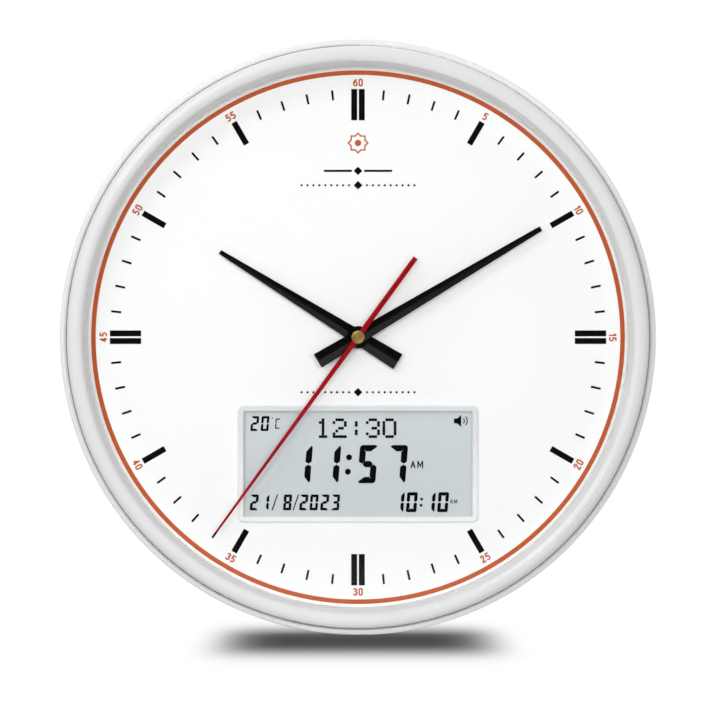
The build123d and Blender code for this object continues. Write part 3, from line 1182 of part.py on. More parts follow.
def lcd_frame():
    """White surround that stands on the dial, with a neck in the dial's window and four pegs."""
    outer = (DISPLAY_WIDTH + 2 * FRAME_BORDER, DISPLAY_HEIGHT + 2 * FRAME_BORDER)
    border = plate(outer, FRAME_CORNER, DIAL_FRONT, DIAL_FRONT + FRAME_RISE, on_display(0, 0))
    border = fillet(border.faces().sort_by(Axis.Z)[-1].edges(), FRAME_EDGE_RADIUS)
    neck = (DISPLAY_WIDTH + 2 * FRAME_NECK, DISPLAY_HEIGHT + 2 * FRAME_NECK)
    frame = border + block(neck, DIAL_BACK, DIAL_FRONT, on_display(0, 0))
    frame += [disc(PEG_RADIUS, DIAL_BACK, DIAL_FRONT, at) for at in peg_places()]
    window = (DISPLAY_WIDTH, DISPLAY_HEIGHT)
    frame -= plate(window, FRAME_WINDOW_CORNER, DIAL_BACK, DIAL_FRONT + FRAME_RISE, on_display(0, 0))
    inner = frame.faces().sort_by(Axis.Z)[-1].inner_wires()[0].edges()
    return chamfer(inner, FRAME_WINDOW_BEVEL)


def lcd_panel():
    return block(PANEL_SIZE, DIAL_BACK - PANEL_THICKNESS, DIAL_BACK, PANEL_CENTRE)


def lcd_holder():
    """Tray between the board and the dial, with a slot for the contact strip and four pins."""
    outer = (POCKET_SIZE[0] + 2 * HOLDER_WALL, POCKET_SIZE[1] + 2 * HOLDER_WALL)
    floor_top = DIAL_BACK - PANEL_THICKNESS
    tray = block(outer, BOARD_FRONT, DIAL_BACK - HOLDER_SETBACK, PANEL_CENTRE)
    strip = (STRIP_LENGTH + 2 * FIT_CLEARANCE, STRIP_WIDTH + 2 * FIT_CLEARANCE)
    tray -= [block(POCKET_SIZE, floor_top, DIAL_BACK, PANEL_CENTRE),
             block(POCKET_SIZE, BOARD_FRONT, floor_top - HOLDER_FLOOR, PANEL_CENTRE),
             block(strip, BOARD_FRONT, DIAL_BACK, STRIP_CENTRE)]
    pin_end = BOARD_BACK - HOLDER_PIN_PROUD
    return tray + [disc(HOLDER_PIN_RADIUS, pin_end, BOARD_FRONT, at) for at in holder_pin_places()]


def holder_pin_places():
    x = (POCKET_SIZE[0] + HOLDER_WALL) / 2
    return [on_display(i * x, j * DISPLAY_HEIGHT / 4) for i in (-1, 1) for j in (-1, 1)]


def zebra_strip():
    return block((STRIP_LENGTH, STRIP_WIDTH), BOARD_FRONT, DIAL_BACK - PANEL_THICKNESS, STRIP_CENTRE)


# Segments of a digit: a top, b and c right, d bottom, e and f left, g middle.
SEGMENTS = {
    "0": "abcdef", "1": "bc", "2": "abged", "3": "abgcd", "5": "afgcd", "7": "abc", "8": "abcdefg",
    "C": "afed",
}
DOT_ROWS = {
    "0": ("01110", "10001", "10001", "10001", "10001", "10001", "01110"),
    "1": ("00100", "01100", "00100", "00100", "00100", "00100", "01110"),
    "2": ("01110", "10001", "00001", "00110", "01000", "10000", "11111"),
    "3": ("01110", "10001", "00001", "00110", "00001", "10001", "01110"),
    ":": ("00000", "00100", "00100", "00000", "00100", "00100", "00000"),
}


def segment(letter, width, height, bar):
    """Outline of one segment of an upright digit in a box with its corner at the origin."""
    half = height / 2
    cut = SEGMENT_GAP * bar
    if letter == "g":
        return [(bar / 2 + cut, half), (bar + cut, half + bar / 2), (width - bar - cut, half + bar / 2),
                (width - bar / 2 - cut, half), (width - bar - cut, half - bar / 2),
                (bar + cut, half - bar / 2)]
    if letter in "ad":
        points = [(cut + bar * 0.35, height), (width - cut - bar * 0.35, height),
                  (width - cut, height - bar * 0.2), (width - bar - cut, height - bar),
                  (bar + cut, height - bar), (cut, height - bar * 0.2)]
    else:
        points = [(width - bar * 0.2, height - cut), (width, height - cut - bar * 0.35),
                  (width, half + bar * 0.4), (width - bar / 2, half + cut),
                  (width - bar, half + bar * 0.4), (width - bar, height - bar - cut)]
    if letter in "ef":
        points = [(width - x, y) for x, y in points]
    if letter in "cde":
        points = [(x, height - y) for x, y in points]
    return points


def on_screen(x, y):
    """Place of a point of the display's layout, in hundredths of its width and height from its middle."""
    return on_display(x * DISPLAY_WIDTH / 100, y * DISPLAY_HEIGHT / 100)


def leaned_digit(character, x, y, width, height, bar):
    """A digit of segments, with all its sizes as on_screen has them and its bar as its width."""
    shapes = []
    rise = DISPLAY_WIDTH / DISPLAY_HEIGHT
    for letter in SEGMENTS[character]:
        outline = segment(letter, width, height / rise, bar)
        leaned = [on_screen(x + px + DIGIT_SLANT * py, y + py * rise) for px, py in outline]
        shapes.append(make_face(Polyline(leaned, close=True)))
    return shapes


def dot_digit(character, x, y, pitch):
    """A digit of square dots, with its lower left corner at x, y."""
    step = pitch * DISPLAY_WIDTH / 100
    corner = Pos(*on_screen(x, y))
    dot = Rectangle(step * DOT_FILL, step * DOT_FILL)
    dots = []
    for row, bits in enumerate(DOT_ROWS[character]):
        for column, bit in enumerate(bits):
            if bit == "1":
                dots.append(corner * Pos((column + 0.5) * step, (6.5 - row) * step) * dot)
    return dots


def small_letters(text, x, y, height, width):
    shapes = []
    height *= DISPLAY_HEIGHT / 100
    width *= DISPLAY_HEIGHT / 100
    offset = 0
    for character in text:
        shapes.append(Pos(*on_screen(x, y)) * Pos(offset, 0) * glyph(character, height, width))
        offset += height * (glyph_box(character) + GLYPH_SPACE)
    return shapes


def sound_symbol(x, y, size):
    """A loudspeaker with two waves."""
    horn = [(-0.5, -0.17), (-0.28, -0.17), (0, -0.42), (0, 0.42), (-0.28, 0.17), (-0.5, 0.17)]
    place = Pos(*on_screen(x, y))
    size *= DISPLAY_WIDTH / 100
    shapes = [place * make_face(Polyline([(size * px, size * py) for px, py in horn], close=True))]
    for radius in (0.22, 0.42):
        arc = [polar(size * radius, angle) for angle in (-42, 0, 42)]
        shapes.append(place * bend(*arc, size * 0.07))
    return shapes


def screen_dot(x, y, radius):
    return Pos(*on_screen(x, y)) * Circle(radius * DISPLAY_WIDTH / 100)


# The display's layout in hundredths of its width and height. Each row of digits has its characters
# with their x, then y, width, height and bar of a digit.
TIME_DIGITS = ((("1", -29.0), ("1", -16.6), ("5", -0.4), ("7", 12.7)), -18.4, 7.95, 36.4, 2.75)
DATE_DIGITS = ((("2", -47.5), ("1", -42.8), ("8", -32.9), ("2", -25.8), ("0", -21.3), ("2", -16.6),
                ("3", -11.9)), -44.3, 3.54, 15.1, 1.16)
NEXT_DIGITS = ((("1", 15.2), ("0", 20.9), ("1", 28.8), ("0", 34.6)), -46.0, 4.65, 19.0, 1.48)
WARMTH_DIGITS = ((("2", -47.2), ("0", -42.7)), 31.4, 3.43, 14.2, 1.02)
DEGREE_LETTER = ((("C", -36.4),), 33.6, 2.2, 9.8, 0.52)
COLON_DOTS = ((-3.9, 6.3, 1.3), (-4.45, -7.4, 1.3), (27.9, -33.6, 0.63), (27.6, -39.5, 0.63),
              (-37.5, 43.9, 0.31))
DATE_SLASHES = ((-37.6, -43.9), (-28.4, -43.9))
DATE_SLASH = (2.3, 14.4)
DATE_SLASH_WIDTH = 0.5
CALL_TIME = "12:30"
CALL_PLACE = (-18.4, 24.7)
CALL_PITCH = 7.28
CALL_DOT = 1.23
HALF_DAY = ("AM", 23.2, -4.3, 7.4, 1.1)
NEXT_HALF_DAY = ("AM", 40.5, -37.9, 4.1, 0.62)
SOUND_PLACE = (45.2, 41.0, 6.3)


def lcd_segments():
    """What the display shows: a large time, a small time, a date, a temperature and a symbol."""
    shapes = []
    for digits, *box in (TIME_DIGITS, DATE_DIGITS, NEXT_DIGITS, WARMTH_DIGITS, DEGREE_LETTER):
        for character, x in digits:
            shapes += leaned_digit(character, x, *box)
    shapes += [screen_dot(*dot) for dot in COLON_DOTS]
    slash_width = DATE_SLASH_WIDTH * DISPLAY_WIDTH / 100
    for x, y in DATE_SLASHES:
        shapes.append(stroke(on_screen(x, y), on_screen(x + DATE_SLASH[0], y + DATE_SLASH[1]), slash_width))
    for number, character in enumerate(CALL_TIME):
        shapes += dot_digit(character, CALL_PLACE[0] + number * CALL_PITCH, CALL_PLACE[1], CALL_DOT)
    shapes += small_letters(*HALF_DAY)
    shapes += small_letters(*NEXT_HALF_DAY)
    shapes += sound_symbol(*SOUND_PLACE)
    return [raised(shape, DIAL_BACK, DIAL_BACK + SEGMENT_THICKNESS) for shape in shapes]


# ================================================================ main board
def main_board():
    size = (MAIN_BOARD_WIDTH, MAIN_BOARD_HEIGHT)
    board = plate(size, MAIN_BOARD_CORNER, BOARD_BACK, BOARD_FRONT, on_display(0, 0))
    cuts = [disc(SMALL_SCREW_RADIUS + HOLE_CLEARANCE, 0, DIAL_BACK, at) for at in board_screw_places()]
    cuts += [disc(HOLDER_PIN_RADIUS + RUNNING_CLEARANCE, 0, DIAL_BACK, at) for at in holder_pin_places()]
    return board - cuts


def on_board(place):
    return (place[0], BOARD_TOP_EDGE - place[1])


def behind_board(size, height, at):
    return block(size, BOARD_BACK - height, BOARD_BACK, at)


def board_chips():
    return [behind_board(CHIP_SIZE, CHIP_THICKNESS, on_board(CHIP_PLACE)),
            behind_board(AMPLIFIER_SIZE, CHIP_THICKNESS, on_board(AMPLIFIER_PLACE))]


def board_capacitors():
    end = BOARD_BACK - CAPACITOR_HEIGHT
    return [disc(CAPACITOR_RADIUS, end, BOARD_BACK, on_board(place)) for place in CAPACITOR_PLACES]


def quartz_crystals():
    """The main board's crystal can and the movement's small cylinder."""
    top = MOVEMENT_BACK + MOVEMENT_WALL + BOARD_POST_HEIGHT + BOARD_THICKNESS
    radius = MOVEMENT_CRYSTAL_RADIUS
    y = MOVEMENT_BOARD_CENTRE[1] + MOVEMENT_BOARD_SIZE[1] / 2 - 1.3 * radius
    lying = Rot(0, 90, 0) * Cylinder(radius, MOVEMENT_CRYSTAL_LENGTH)
    can_end = BOARD_BACK - CRYSTAL_HEIGHT
    can = plate(CRYSTAL_SIZE, CRYSTAL_CORNER, can_end, BOARD_BACK, on_board(CRYSTAL_PLACE))
    return [can, Pos(MOVEMENT_BOARD_CENTRE[0], y, top + radius) * lying]


def lead_sockets():
    places = (SPEAKER_SOCKET_PLACE, BATTERY_SOCKET_PLACE)
    return [behind_board(SOCKET_SIZE, SOCKET_HEIGHT, on_board(place)) for place in places]


def button_switches():
    bore = BUTTON_STEM_RADIUS + SLIDE_CLEARANCE
    body = [behind_board((SWITCH_SIZE, SWITCH_SIZE), SWITCH_HEIGHT, at) for at in button_places()]
    return [shape - disc(bore, SWITCH_FACE, SWITCH_FACE + SWITCH_BORE_DEPTH, at)
            for shape, at in zip(body, button_places())]


def button_places():
    middle = (BUTTON_COUNT - 1) / 2
    y = BOARD_LOWER_EDGE + BUTTON_ROW_RISE
    return [((number - middle) * BUTTON_PITCH, y) for number in range(BUTTON_COUNT)]


def button(at):
    flange_base = BACK_INNER + BUTTON_SEAT_GAP
    cap = disc(BUTTON_RADIUS, FOOT_HEIGHT - BUTTON_PROUD, flange_base, at)
    cap = fillet(cap.faces().sort_by(Axis.Z)[0].edges(), BUTTON_EDGE_RADIUS)
    flange_top = flange_base + BUTTON_FLANGE_THICKNESS
    flange = disc(BUTTON_RADIUS + BUTTON_FLANGE, flange_base, flange_top, at)
    return cap + flange + disc(BUTTON_STEM_RADIUS, flange_top, SWITCH_FACE + STEM_ENGAGEMENT, at)


def slide_slot():
    return (SLIDE_KNOB[0] + SLIDE_TRAVEL + 2 * FIT_CLEARANCE, SLIDE_KNOB[1] + 2 * SLIDE_CLEARANCE)


def slide_switch():
    body = behind_board(SLIDE_BODY, SLIDE_BODY_HEIGHT, SLIDE_CENTRE)
    face = BOARD_BACK - SLIDE_BODY_HEIGHT
    return body - block(slide_slot(), face, face + SWITCH_BORE_DEPTH, SLIDE_CENTRE)


def slide_switch_knob():
    """Drawn at the left end of its travel."""
    at = (SLIDE_CENTRE[0] - SLIDE_TRAVEL / 2, SLIDE_CENTRE[1])
    top = BOARD_BACK - SLIDE_BODY_HEIGHT + SWITCH_BORE_DEPTH - FIT_CLEARANCE
    return block(SLIDE_KNOB, FOOT_HEIGHT - BUTTON_PROUD, top, at)


# ================================================================ speaker
def speaker_frame():
    flange = disc(SPEAKER_RADIUS, SPEAKER_BASE, SPEAKER_RIM)
    for x, y in speaker_screw_places():
        at = (x - SPEAKER_CENTRE[0], y - SPEAKER_CENTRE[1])
        flange += disc(SPEAKER_EAR_RADIUS, SPEAKER_BASE, SPEAKER_RIM, at)
        flange -= disc(SMALL_SCREW_RADIUS + HOLE_CLEARANCE, SPEAKER_BASE, SPEAKER_RIM, at)
    flange -= disc(SPEAKER_RADIUS - SPEAKER_FLANGE_WIDTH, SPEAKER_BASE, SPEAKER_RIM)
    basket_top = MAGNET_BASE - BASKET_WALL
    wide = SPEAKER_RADIUS - BASKET_INSET
    narrow = MAGNET_RADIUS + BASKET_WALL
    outline = [(wide - BASKET_WALL, SPEAKER_RIM), (wide, SPEAKER_RIM), (narrow, basket_top),
               (narrow, MAGNET_BASE), (POLE_HOLE, MAGNET_BASE), (POLE_HOLE, basket_top),
               (narrow - BASKET_WALL, basket_top)]
    basket = turned(Polyline(at_radius(outline), close=True))
    window = block(BASKET_WINDOW, SPEAKER_RIM + BASKET_RING, basket_top - BASKET_RING,
                   (SPEAKER_RADIUS * 0.75, 0))
    for number in range(BASKET_WINDOW_COUNT):
        basket -= Rot(0, 0, number * 360 / BASKET_WINDOW_COUNT) * window
    tag = block(TAG_SIZE, SPEAKER_RIM, SPEAKER_RIM + TAG_HEIGHT, (0, TAG_OFFSET - SPEAKER_RADIUS))
    return Pos(*SPEAKER_CENTRE) * (flange + basket + tag)


def cone_edge():
    return SPEAKER_RADIUS - SPEAKER_FLANGE_WIDTH + PAPER_OVERLAP


def cone_face(rim):
    """Profile of one face of the paper, from the axis out to the glued edge."""
    edge = cone_edge()
    roll = edge - CONE_LIP
    slope_end = roll - CONE_ROLL_WIDTH
    deep = rim + CONE_DEPTH
    roll_middle = (roll - CONE_ROLL_WIDTH / 2, 0, rim - CONE_ROLL_DEPTH)
    return [TangentArc((0, 0, deep - DUST_CAP_RISE), (CONE_THROAT, 0, deep), tangent=(1, 0, 0)),
            Line((CONE_THROAT, 0, deep), (slope_end, 0, rim)),
            ThreePointArc((slope_end, 0, rim), roll_middle, (roll, 0, rim)),
            Line((roll, 0, rim), (edge, 0, rim))]


def speaker_cone():
    """Paper cone with a rolled edge and a dust cap."""
    edge = cone_edge()
    middle = SPEAKER_RIM + CONE_DEPTH - DUST_CAP_RISE
    cone = turned(
        *cone_face(SPEAKER_RIM),
        *cone_face(SPEAKER_RIM + CONE_THICKNESS),
        Line((edge, 0, SPEAKER_RIM), (edge, 0, SPEAKER_RIM + CONE_THICKNESS)),
        Line((0, 0, middle), (0, 0, middle + CONE_THICKNESS)),
    )
    return Pos(*SPEAKER_CENTRE) * cone


def speaker_magnet():
    magnet = disc(MAGNET_RADIUS, MAGNET_BASE, MAGNET_BASE + MAGNET_THICKNESS)
    magnet = chamfer(magnet.edges(), MAGNET_CHAMFER)
    yoke_base = MAGNET_BASE + MAGNET_THICKNESS
    yoke = disc(MAGNET_RADIUS - BASKET_WALL, yoke_base, yoke_base + YOKE_THICKNESS)
    pole = disc(POLE_HOLE - BASKET_WALL, MAGNET_BASE - BASKET_WALL, MAGNET_BASE)
    return Pos(*SPEAKER_CENTRE) * (magnet + yoke + pole)


def lead(points):
    """An insulated wire: straight runs joined by arcs as large as the runs allow."""
    radii = []
    for before, corner, after in zip(points, points[1:], points[2:]):
        first = Vector(*corner) - Vector(*before)
        second = Vector(*after) - Vector(*corner)
        half_turn = math.radians(first.get_angle(second)) / 2
        radii.append(0.45 * min(first.length, second.length) / math.tan(half_turn))
    print("lead bend radii", [round(radius, 1) for radius in radii])
    path = FilletPolyline(*points, radius=radii)
    return sweep(Plane(origin=path @ 0, z_dir=path % 0) * Circle(LEAD_RADIUS), path=path)


def lead_height():
    return BOARD_BACK - SOCKET_HEIGHT / 2


def lead_pair(start, start_height, socket):
    """Two leads that run down from the start, cross over to the socket and run down into it."""
    end_x, socket_y = on_board(socket)
    end_y = socket_y + SOCKET_SIZE[1] / 2
    third = (start[1] - end_y) / 3
    wires = []
    for side in (-1, 1):
        x = start[0] + side * LEAD_PAIR_SPREAD
        lower_x = end_x + side * SOCKET_PAIR_SPREAD
        step = side * 2 * LEAD_RADIUS
        wires.append(lead([(x, start[1], start_height), (x, start[1] - third + step, start_height),
                           (lower_x, end_y + third + step, lead_height()), (lower_x, end_y, lead_height())]))
    return wires


def speaker_leads():
    start = (SPEAKER_CENTRE[0], SPEAKER_CENTRE[1] - SPEAKER_RADIUS + TAG_OFFSET - TAG_SIZE[1] / 2)
    return lead_pair(start, SPEAKER_RIM + TAG_HEIGHT / 2, SPEAKER_SOCKET_PLACE)


def battery_leads():
    start = (BATTERY_SOCKET_PLACE[0] + BAY_LEAD_OFFSET, BAY_LOWER_EDGE - BAY_WALL)
    return lead_pair(start, lead_height(), BATTERY_SOCKET_PLACE)


# ================================================================ batteries
def bay_rows():
    middle = (CELL_COUNT - 1) / 2
    return [(BAY_CENTRE[1] + (number - middle) * CELL_PITCH, 1 if number % 2 else -1)
            for number in range(CELL_COUNT)]


def cell():
    """One cell along x, centred on the origin, its positive end to the right."""
    body = Cylinder(CELL_RADIUS, CELL_LENGTH - CELL_NUB_LENGTH)
    body = fillet(body.edges(), CELL_EDGE_RADIUS)
    nub = Pos(0, 0, CELL_LENGTH / 2) * Cylinder(CELL_NUB_RADIUS, CELL_NUB_LENGTH)
    return Pos(-CELL_NUB_LENGTH / 2, 0, 0) * Rot(0, 90, 0) * (body + nub)


def aa_cells():
    reach = (BAY_SPRING_SPACE - RUNNING_CLEARANCE) / 2
    cells = [Pos(BAY_CENTRE[0] + side * reach, y, CELL_HEIGHT) * Rot(0, 0, 90 - 90 * side) * cell()
             for y, side in bay_rows()]
    shift = (MOVEMENT_SIZE - 2 * MOVEMENT_WALL - 2 * CONTACT_THICKNESS - CELL_LENGTH - RUNNING_CLEARANCE) / 2
    return cells + [Pos(shift, MOVEMENT_CELL_Y, MOVEMENT_CELL_HEIGHT) * cell()]


def contact(x, y, z, size):
    return Pos(x, y, z) * Box(CONTACT_THICKNESS, size, size)


def battery_contacts():
    """A plate at each end of each cell; in the movement the negative one is a bent leaf."""
    plates = []
    x = (BAY_LENGTH - CONTACT_THICKNESS) / 2
    for y, side in bay_rows():
        plates += [contact(BAY_CENTRE[0] + end * x, y, CELL_HEIGHT, CONTACT_SIZE) for end in (-1, 1)]
    wall = MOVEMENT_SIZE / 2 - MOVEMENT_WALL
    inner = wall - CONTACT_THICKNESS
    plates.append(contact(wall - CONTACT_THICKNESS / 2, MOVEMENT_CELL_Y, MOVEMENT_CELL_HEIGHT, CONTACT_SIZE))
    reach = 2 * inner - CELL_LENGTH - 2 * RUNNING_CLEARANCE
    half = CONTACT_SIZE / 2
    leaf = [(-wall, -half), (-inner, -half), (-inner + reach, 0), (-inner, half), (-wall, half)]
    hollow = [(-wall, -half + 1), (-inner + reach - 1.2 * CONTACT_THICKNESS, 0), (-wall, half - 1)]
    bent = make_face(Polyline(leaf, close=True)) - make_face(Polyline(hollow, close=True))
    low = MOVEMENT_CELL_HEIGHT - CONTACT_SIZE / 4
    plates.append(Pos(0, MOVEMENT_CELL_Y, 0) * raised(bent, low, low + CONTACT_SIZE / 2))
    return plates


def battery_springs():
    """One coil spring at the negative end of each cell in the bay."""
    free = BAY_SPRING_SPACE - 2 * SPRING_WIRE_RADIUS - 2 * RUNNING_CLEARANCE
    springs = []
    for y, side in bay_rows():
        helix = Helix(pitch=free / SPRING_TURNS, height=free, radius=SPRING_RADIUS)
        wire = sweep(Plane(origin=helix @ 0, z_dir=helix % 0) * Circle(SPRING_WIRE_RADIUS), path=helix,
                     is_frenet=True)
        start = BAY_LENGTH / 2 - CONTACT_THICKNESS - SPRING_WIRE_RADIUS - RUNNING_CLEARANCE
        springs.append(Pos(BAY_CENTRE[0] - side * start, y, CELL_HEIGHT) * Rot(0, 90 * side, 0) * wire)
    return springs


def door_pockets():
    """Room in the bay's wall for the lid's tabs, and a recess for a finger beside its tongue."""
    edge = BAY_TOP_EDGE
    depth = DOOR_LEDGE + DOOR_TAB_REACH + DOOR_CLEARANCE
    size = (DOOR_TAB_WIDTH + 2 * DOOR_CLEARANCE, depth + OVERCUT)
    top = DOOR_TAB_BASE + DOOR_TAB_THICKNESS + DOOR_CLEARANCE
    pockets = [block(size, DOOR_INNER, top, (x, edge + (depth - OVERCUT) / 2)) for x in door_tab_places()]
    grooves = door_knuckles(DOOR_KNUCKLE_RADIUS + SLIDE_CLEARANCE, DOOR_TAB_WIDTH + 2 * DOOR_CLEARANCE)
    finger_at = (BAY_CENTRE[0], BAY_LOWER_EDGE - DOOR_LEDGE)
    return pockets + grooves + [block(FINGER_RECESS, 0, FOOT_HEIGHT + CASE_WALL / 2, finger_at)]


def door_tab_places():
    return [BAY_CENTRE[0] + side * DOOR_TAB_SPACING / 2 for side in (-1, 1)]


def door_knuckles(radius, length):
    """Round knuckles on the lid's outer upper edge, which is the axis that it swings on."""
    edge = BAY_TOP_EDGE + DOOR_LEDGE - DOOR_CLEARANCE
    barrel = Rot(0, 90, 0) * Cylinder(radius, length)
    return [Pos(x, edge, FOOT_HEIGHT) * barrel for x in door_tab_places()]


def battery_door():
    """Lid with knuckles and tabs at its upper edge and a tongue at its lower edge."""
    size = (BAY_LENGTH + 2 * (DOOR_LEDGE - DOOR_CLEARANCE), BAY_BREADTH + 2 * (DOOR_LEDGE - DOOR_CLEARANCE))
    lid = block(size, FOOT_HEIGHT, DOOR_INNER, BAY_CENTRE)
    edge = BAY_TOP_EDGE
    root = edge - DOOR_TAB_ROOT
    neck = edge - DOOR_CLEARANCE
    lip_end = edge + DOOR_LEDGE + DOOR_TAB_REACH
    tab_top = DOOR_TAB_BASE + DOOR_TAB_THICKNESS
    lid += door_knuckles(DOOR_KNUCKLE_RADIUS, DOOR_TAB_WIDTH)
    for x in door_tab_places():
        lid += block((DOOR_TAB_WIDTH, neck - root), DOOR_INNER, tab_top, (x, (root + neck) / 2))
        lid += block((DOOR_TAB_WIDTH, lip_end - neck), DOOR_TAB_BASE, tab_top, (x, (lip_end + neck) / 2))
    tongue = (DOOR_TONGUE_WIDTH, DOOR_TONGUE_THICKNESS)
    tongue_at = (BAY_CENTRE[0], BAY_LOWER_EDGE + DOOR_TONGUE_INSET)
    lid += block(tongue, DOOR_INNER, DOOR_INNER + DOOR_TONGUE_DEPTH, tongue_at)
    for step in range(RIDGE_COUNT):
        ridge_at = (BAY_CENTRE[0], BAY_LOWER_EDGE + RIDGE_INSET + step * RIDGE_PITCH)
        lid += block((DOOR_TONGUE_WIDTH, RIDGE_WIDTH), FOOT_HEIGHT - RIDGE_HEIGHT, FOOT_HEIGHT, ridge_at)
    arrow = Polyline([(-MARK_SIZE, MARK_SIZE), (MARK_SIZE, MARK_SIZE), (0, 0)], close=True)
    arrow_at = (BAY_CENTRE[0], BAY_LOWER_EDGE + RIDGE_INSET + RIDGE_COUNT * RIDGE_PITCH + MARK_SIZE)
    return lid + raised(Pos(*arrow_at) * make_face(arrow), FOOT_HEIGHT - MARK_HEIGHT, FOOT_HEIGHT)


os.makedirs("parts", exist_ok=True)
write("back_cover", back_cover())
write("front_bezel", front_bezel())
write("front_lens", front_lens())
write("spacer_ring", spacer_ring())
write("case_screws", *case_screws())
write("small_screws", *small_screws())
write("hanger_plate", hanger_plate())
write("dial_plate", dial_plate())
write("dial_print_black", *dial_print_black())
write("dial_print_orange", *dial_print_orange())
write("hour_hand", hour_hand())
write("minute_hand", minute_hand())
write("second_hand", second_hand())
write("second_hand_cap", second_hand_cap())
write("rotor", rotor())
write("intermediate_wheel", intermediate_wheel())
write("second_wheel", second_wheel())
write("third_wheel", third_wheel())
write("centre_wheel", centre_wheel())
write("cannon_pinion", cannon_pinion())
write("minute_wheel", minute_wheel())
write("hour_wheel", hour_wheel())
write("setting_knob", setting_knob())
write("stator", stator())
write("coil", coil())
write("movement_board", movement_board())
write("movement_back_case", movement_back_case())
write("movement_front_case", movement_front_case())
write("threaded_bush", threaded_bush())
write("fixing_nut", fixing_nut())
write("fixing_washer", fixing_washer())
write("lcd_frame", lcd_frame())
write("lcd_panel", lcd_panel())
write("lcd_segments", *lcd_segments())
write("lcd_holder", lcd_holder())
write("zebra_strip", zebra_strip())
write("main_board", main_board())
write("board_chips", *board_chips())
write("board_capacitors", *board_capacitors())
write("quartz_crystals", *quartz_crystals())
write("lead_sockets", *lead_sockets())
write("button_switches", *button_switches())
for number, place in enumerate(button_places(), start=1):
    write(f"button_{number}", button(place))
write("slide_switch", slide_switch())
write("slide_switch_knob", slide_switch_knob())
write("speaker_frame", speaker_frame())
write("speaker_cone", speaker_cone())
write("speaker_magnet", speaker_magnet())
write("speaker_leads", *speaker_leads())
write("battery_door", battery_door())
write("aa_cells", *aa_cells())
write("battery_springs", *battery_springs())
write("battery_contacts", *battery_contacts())
write("battery_leads", *battery_leads())
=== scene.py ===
import math

import bpy
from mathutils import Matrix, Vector

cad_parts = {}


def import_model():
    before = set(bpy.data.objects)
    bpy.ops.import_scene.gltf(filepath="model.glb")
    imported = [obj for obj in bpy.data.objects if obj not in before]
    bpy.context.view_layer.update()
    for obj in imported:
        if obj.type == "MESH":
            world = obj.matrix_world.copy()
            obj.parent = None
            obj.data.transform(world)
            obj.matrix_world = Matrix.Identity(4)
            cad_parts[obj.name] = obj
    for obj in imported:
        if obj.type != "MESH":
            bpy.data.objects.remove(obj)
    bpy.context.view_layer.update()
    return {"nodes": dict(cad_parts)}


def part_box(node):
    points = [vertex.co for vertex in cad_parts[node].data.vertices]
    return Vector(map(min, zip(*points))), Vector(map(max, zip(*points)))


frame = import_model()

# Everything is in metres, in the part's own frame: the dial faces -Y and +Z is up.
CASE_LOW, CASE_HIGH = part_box("back_cover")
AXIS_X = (CASE_HIGH[0] + CASE_LOW[0]) / 2
AXIS_Z = (CASE_HIGH[2] + CASE_LOW[2]) / 2
WALL_Y = CASE_HIGH[1]
FACE_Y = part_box("dial_plate")[0][1]
FLOOR_Z = CASE_LOW[2]

# Colours as linear RGB.
GLOSS_WHITE = (0.705, 0.708, 0.712)
SATIN_WHITE = (0.86, 0.86, 0.855)
DIAL_WHITE = (0.925, 0.925, 0.92)
BACK_WHITE = (0.75, 0.752, 0.755)
ORANGE_INK = (0.510, 0.103, 0.035)
BLACK_INK = (0.002, 0.002, 0.002)
LCD_GREY = (0.590, 0.625, 0.640)
BLACK_LACQUER = (0.0009, 0.0009, 0.0010)
RED_LACQUER = (0.30, 0.002, 0.006)
BRASS = (0.74, 0.50, 0.135)
ACETAL_WHITE = (0.74, 0.73, 0.69)
ACETAL_GREEN = (0.09, 0.33, 0.20)
MOVEMENT_BLACK = (0.022, 0.022, 0.024)
SWITCH_BLACK = (0.016, 0.016, 0.018)
BUTTON_GREY = (0.40, 0.41, 0.42)
HOLDER_GREY = (0.30, 0.31, 0.32)
NICKEL = (0.68, 0.67, 0.64)
ZINC = (0.55, 0.56, 0.57)
BOARD_GREEN = (0.022, 0.15, 0.06)
BOARD_BROWN = (0.24, 0.12, 0.045)
WIRE_BLACK = (0.02, 0.02, 0.02)
WIRE_RED = (0.38, 0.02, 0.02)

# Pairs of colours that a finish varies between.
# Painted shade on the display frame: its top is greyer than its bottom.
FRAME_PAINTED_SHADE_TONES = (0.86, 0.865, 0.87), (0.72, 0.72, 0.735)
SEGMENT_TONES = (0.0012, 0.0013, 0.0016), (0.0022, 0.0024, 0.0030)
# Painted shade and highlight for the winding: dark in the grooves between turns, bright on their crests.
COPPER_PAINTED_SHADE_TONES = (0.20, 0.055, 0.018), (0.70, 0.26, 0.09)
SLEEVE_TONES = (0.035, 0.04, 0.045), (0.055, 0.06, 0.07)
PAPER_TONES = (0.010, 0.010, 0.011), (0.040, 0.039, 0.038)
RUBBER_TONES = (0.014, 0.014, 0.014), (0.028, 0.028, 0.028)
FERRITE_TONES = (0.030, 0.030, 0.032), (0.060, 0.060, 0.064)

# The back case is glossy in front of the second of these and textured behind the first.
RIM_TURN = (WALL_Y - 0.019, WALL_Y - 0.027)
LENS_IOR = 1.22
LENS_TINT = (0.99, 0.995, 0.995)
STREAKS = (1.0, 30.0, 30.0)
TRACK_SCALE = 90.0
TRACK_WIDTH = 0.035


# ================================================================ shader nodes
def feed(tree, socket, value):
    """Links an output to a socket, or sets the socket to a plain value."""
    if isinstance(value, bpy.types.NodeSocket):
        tree.links.new(value, socket)
    elif socket.type == "RGBA" and len(value) == 3:
        socket.default_value = (*value, 1.0)
    else:
        socket.default_value = value


def add_node(tree, kind, inputs, **settings):
    node = tree.nodes.new("ShaderNode" + kind)
    for setting, value in settings.items():
        setattr(node, setting, value)
    for socket, value in inputs.items():
        feed(tree, node.inputs[socket], value)
    return node


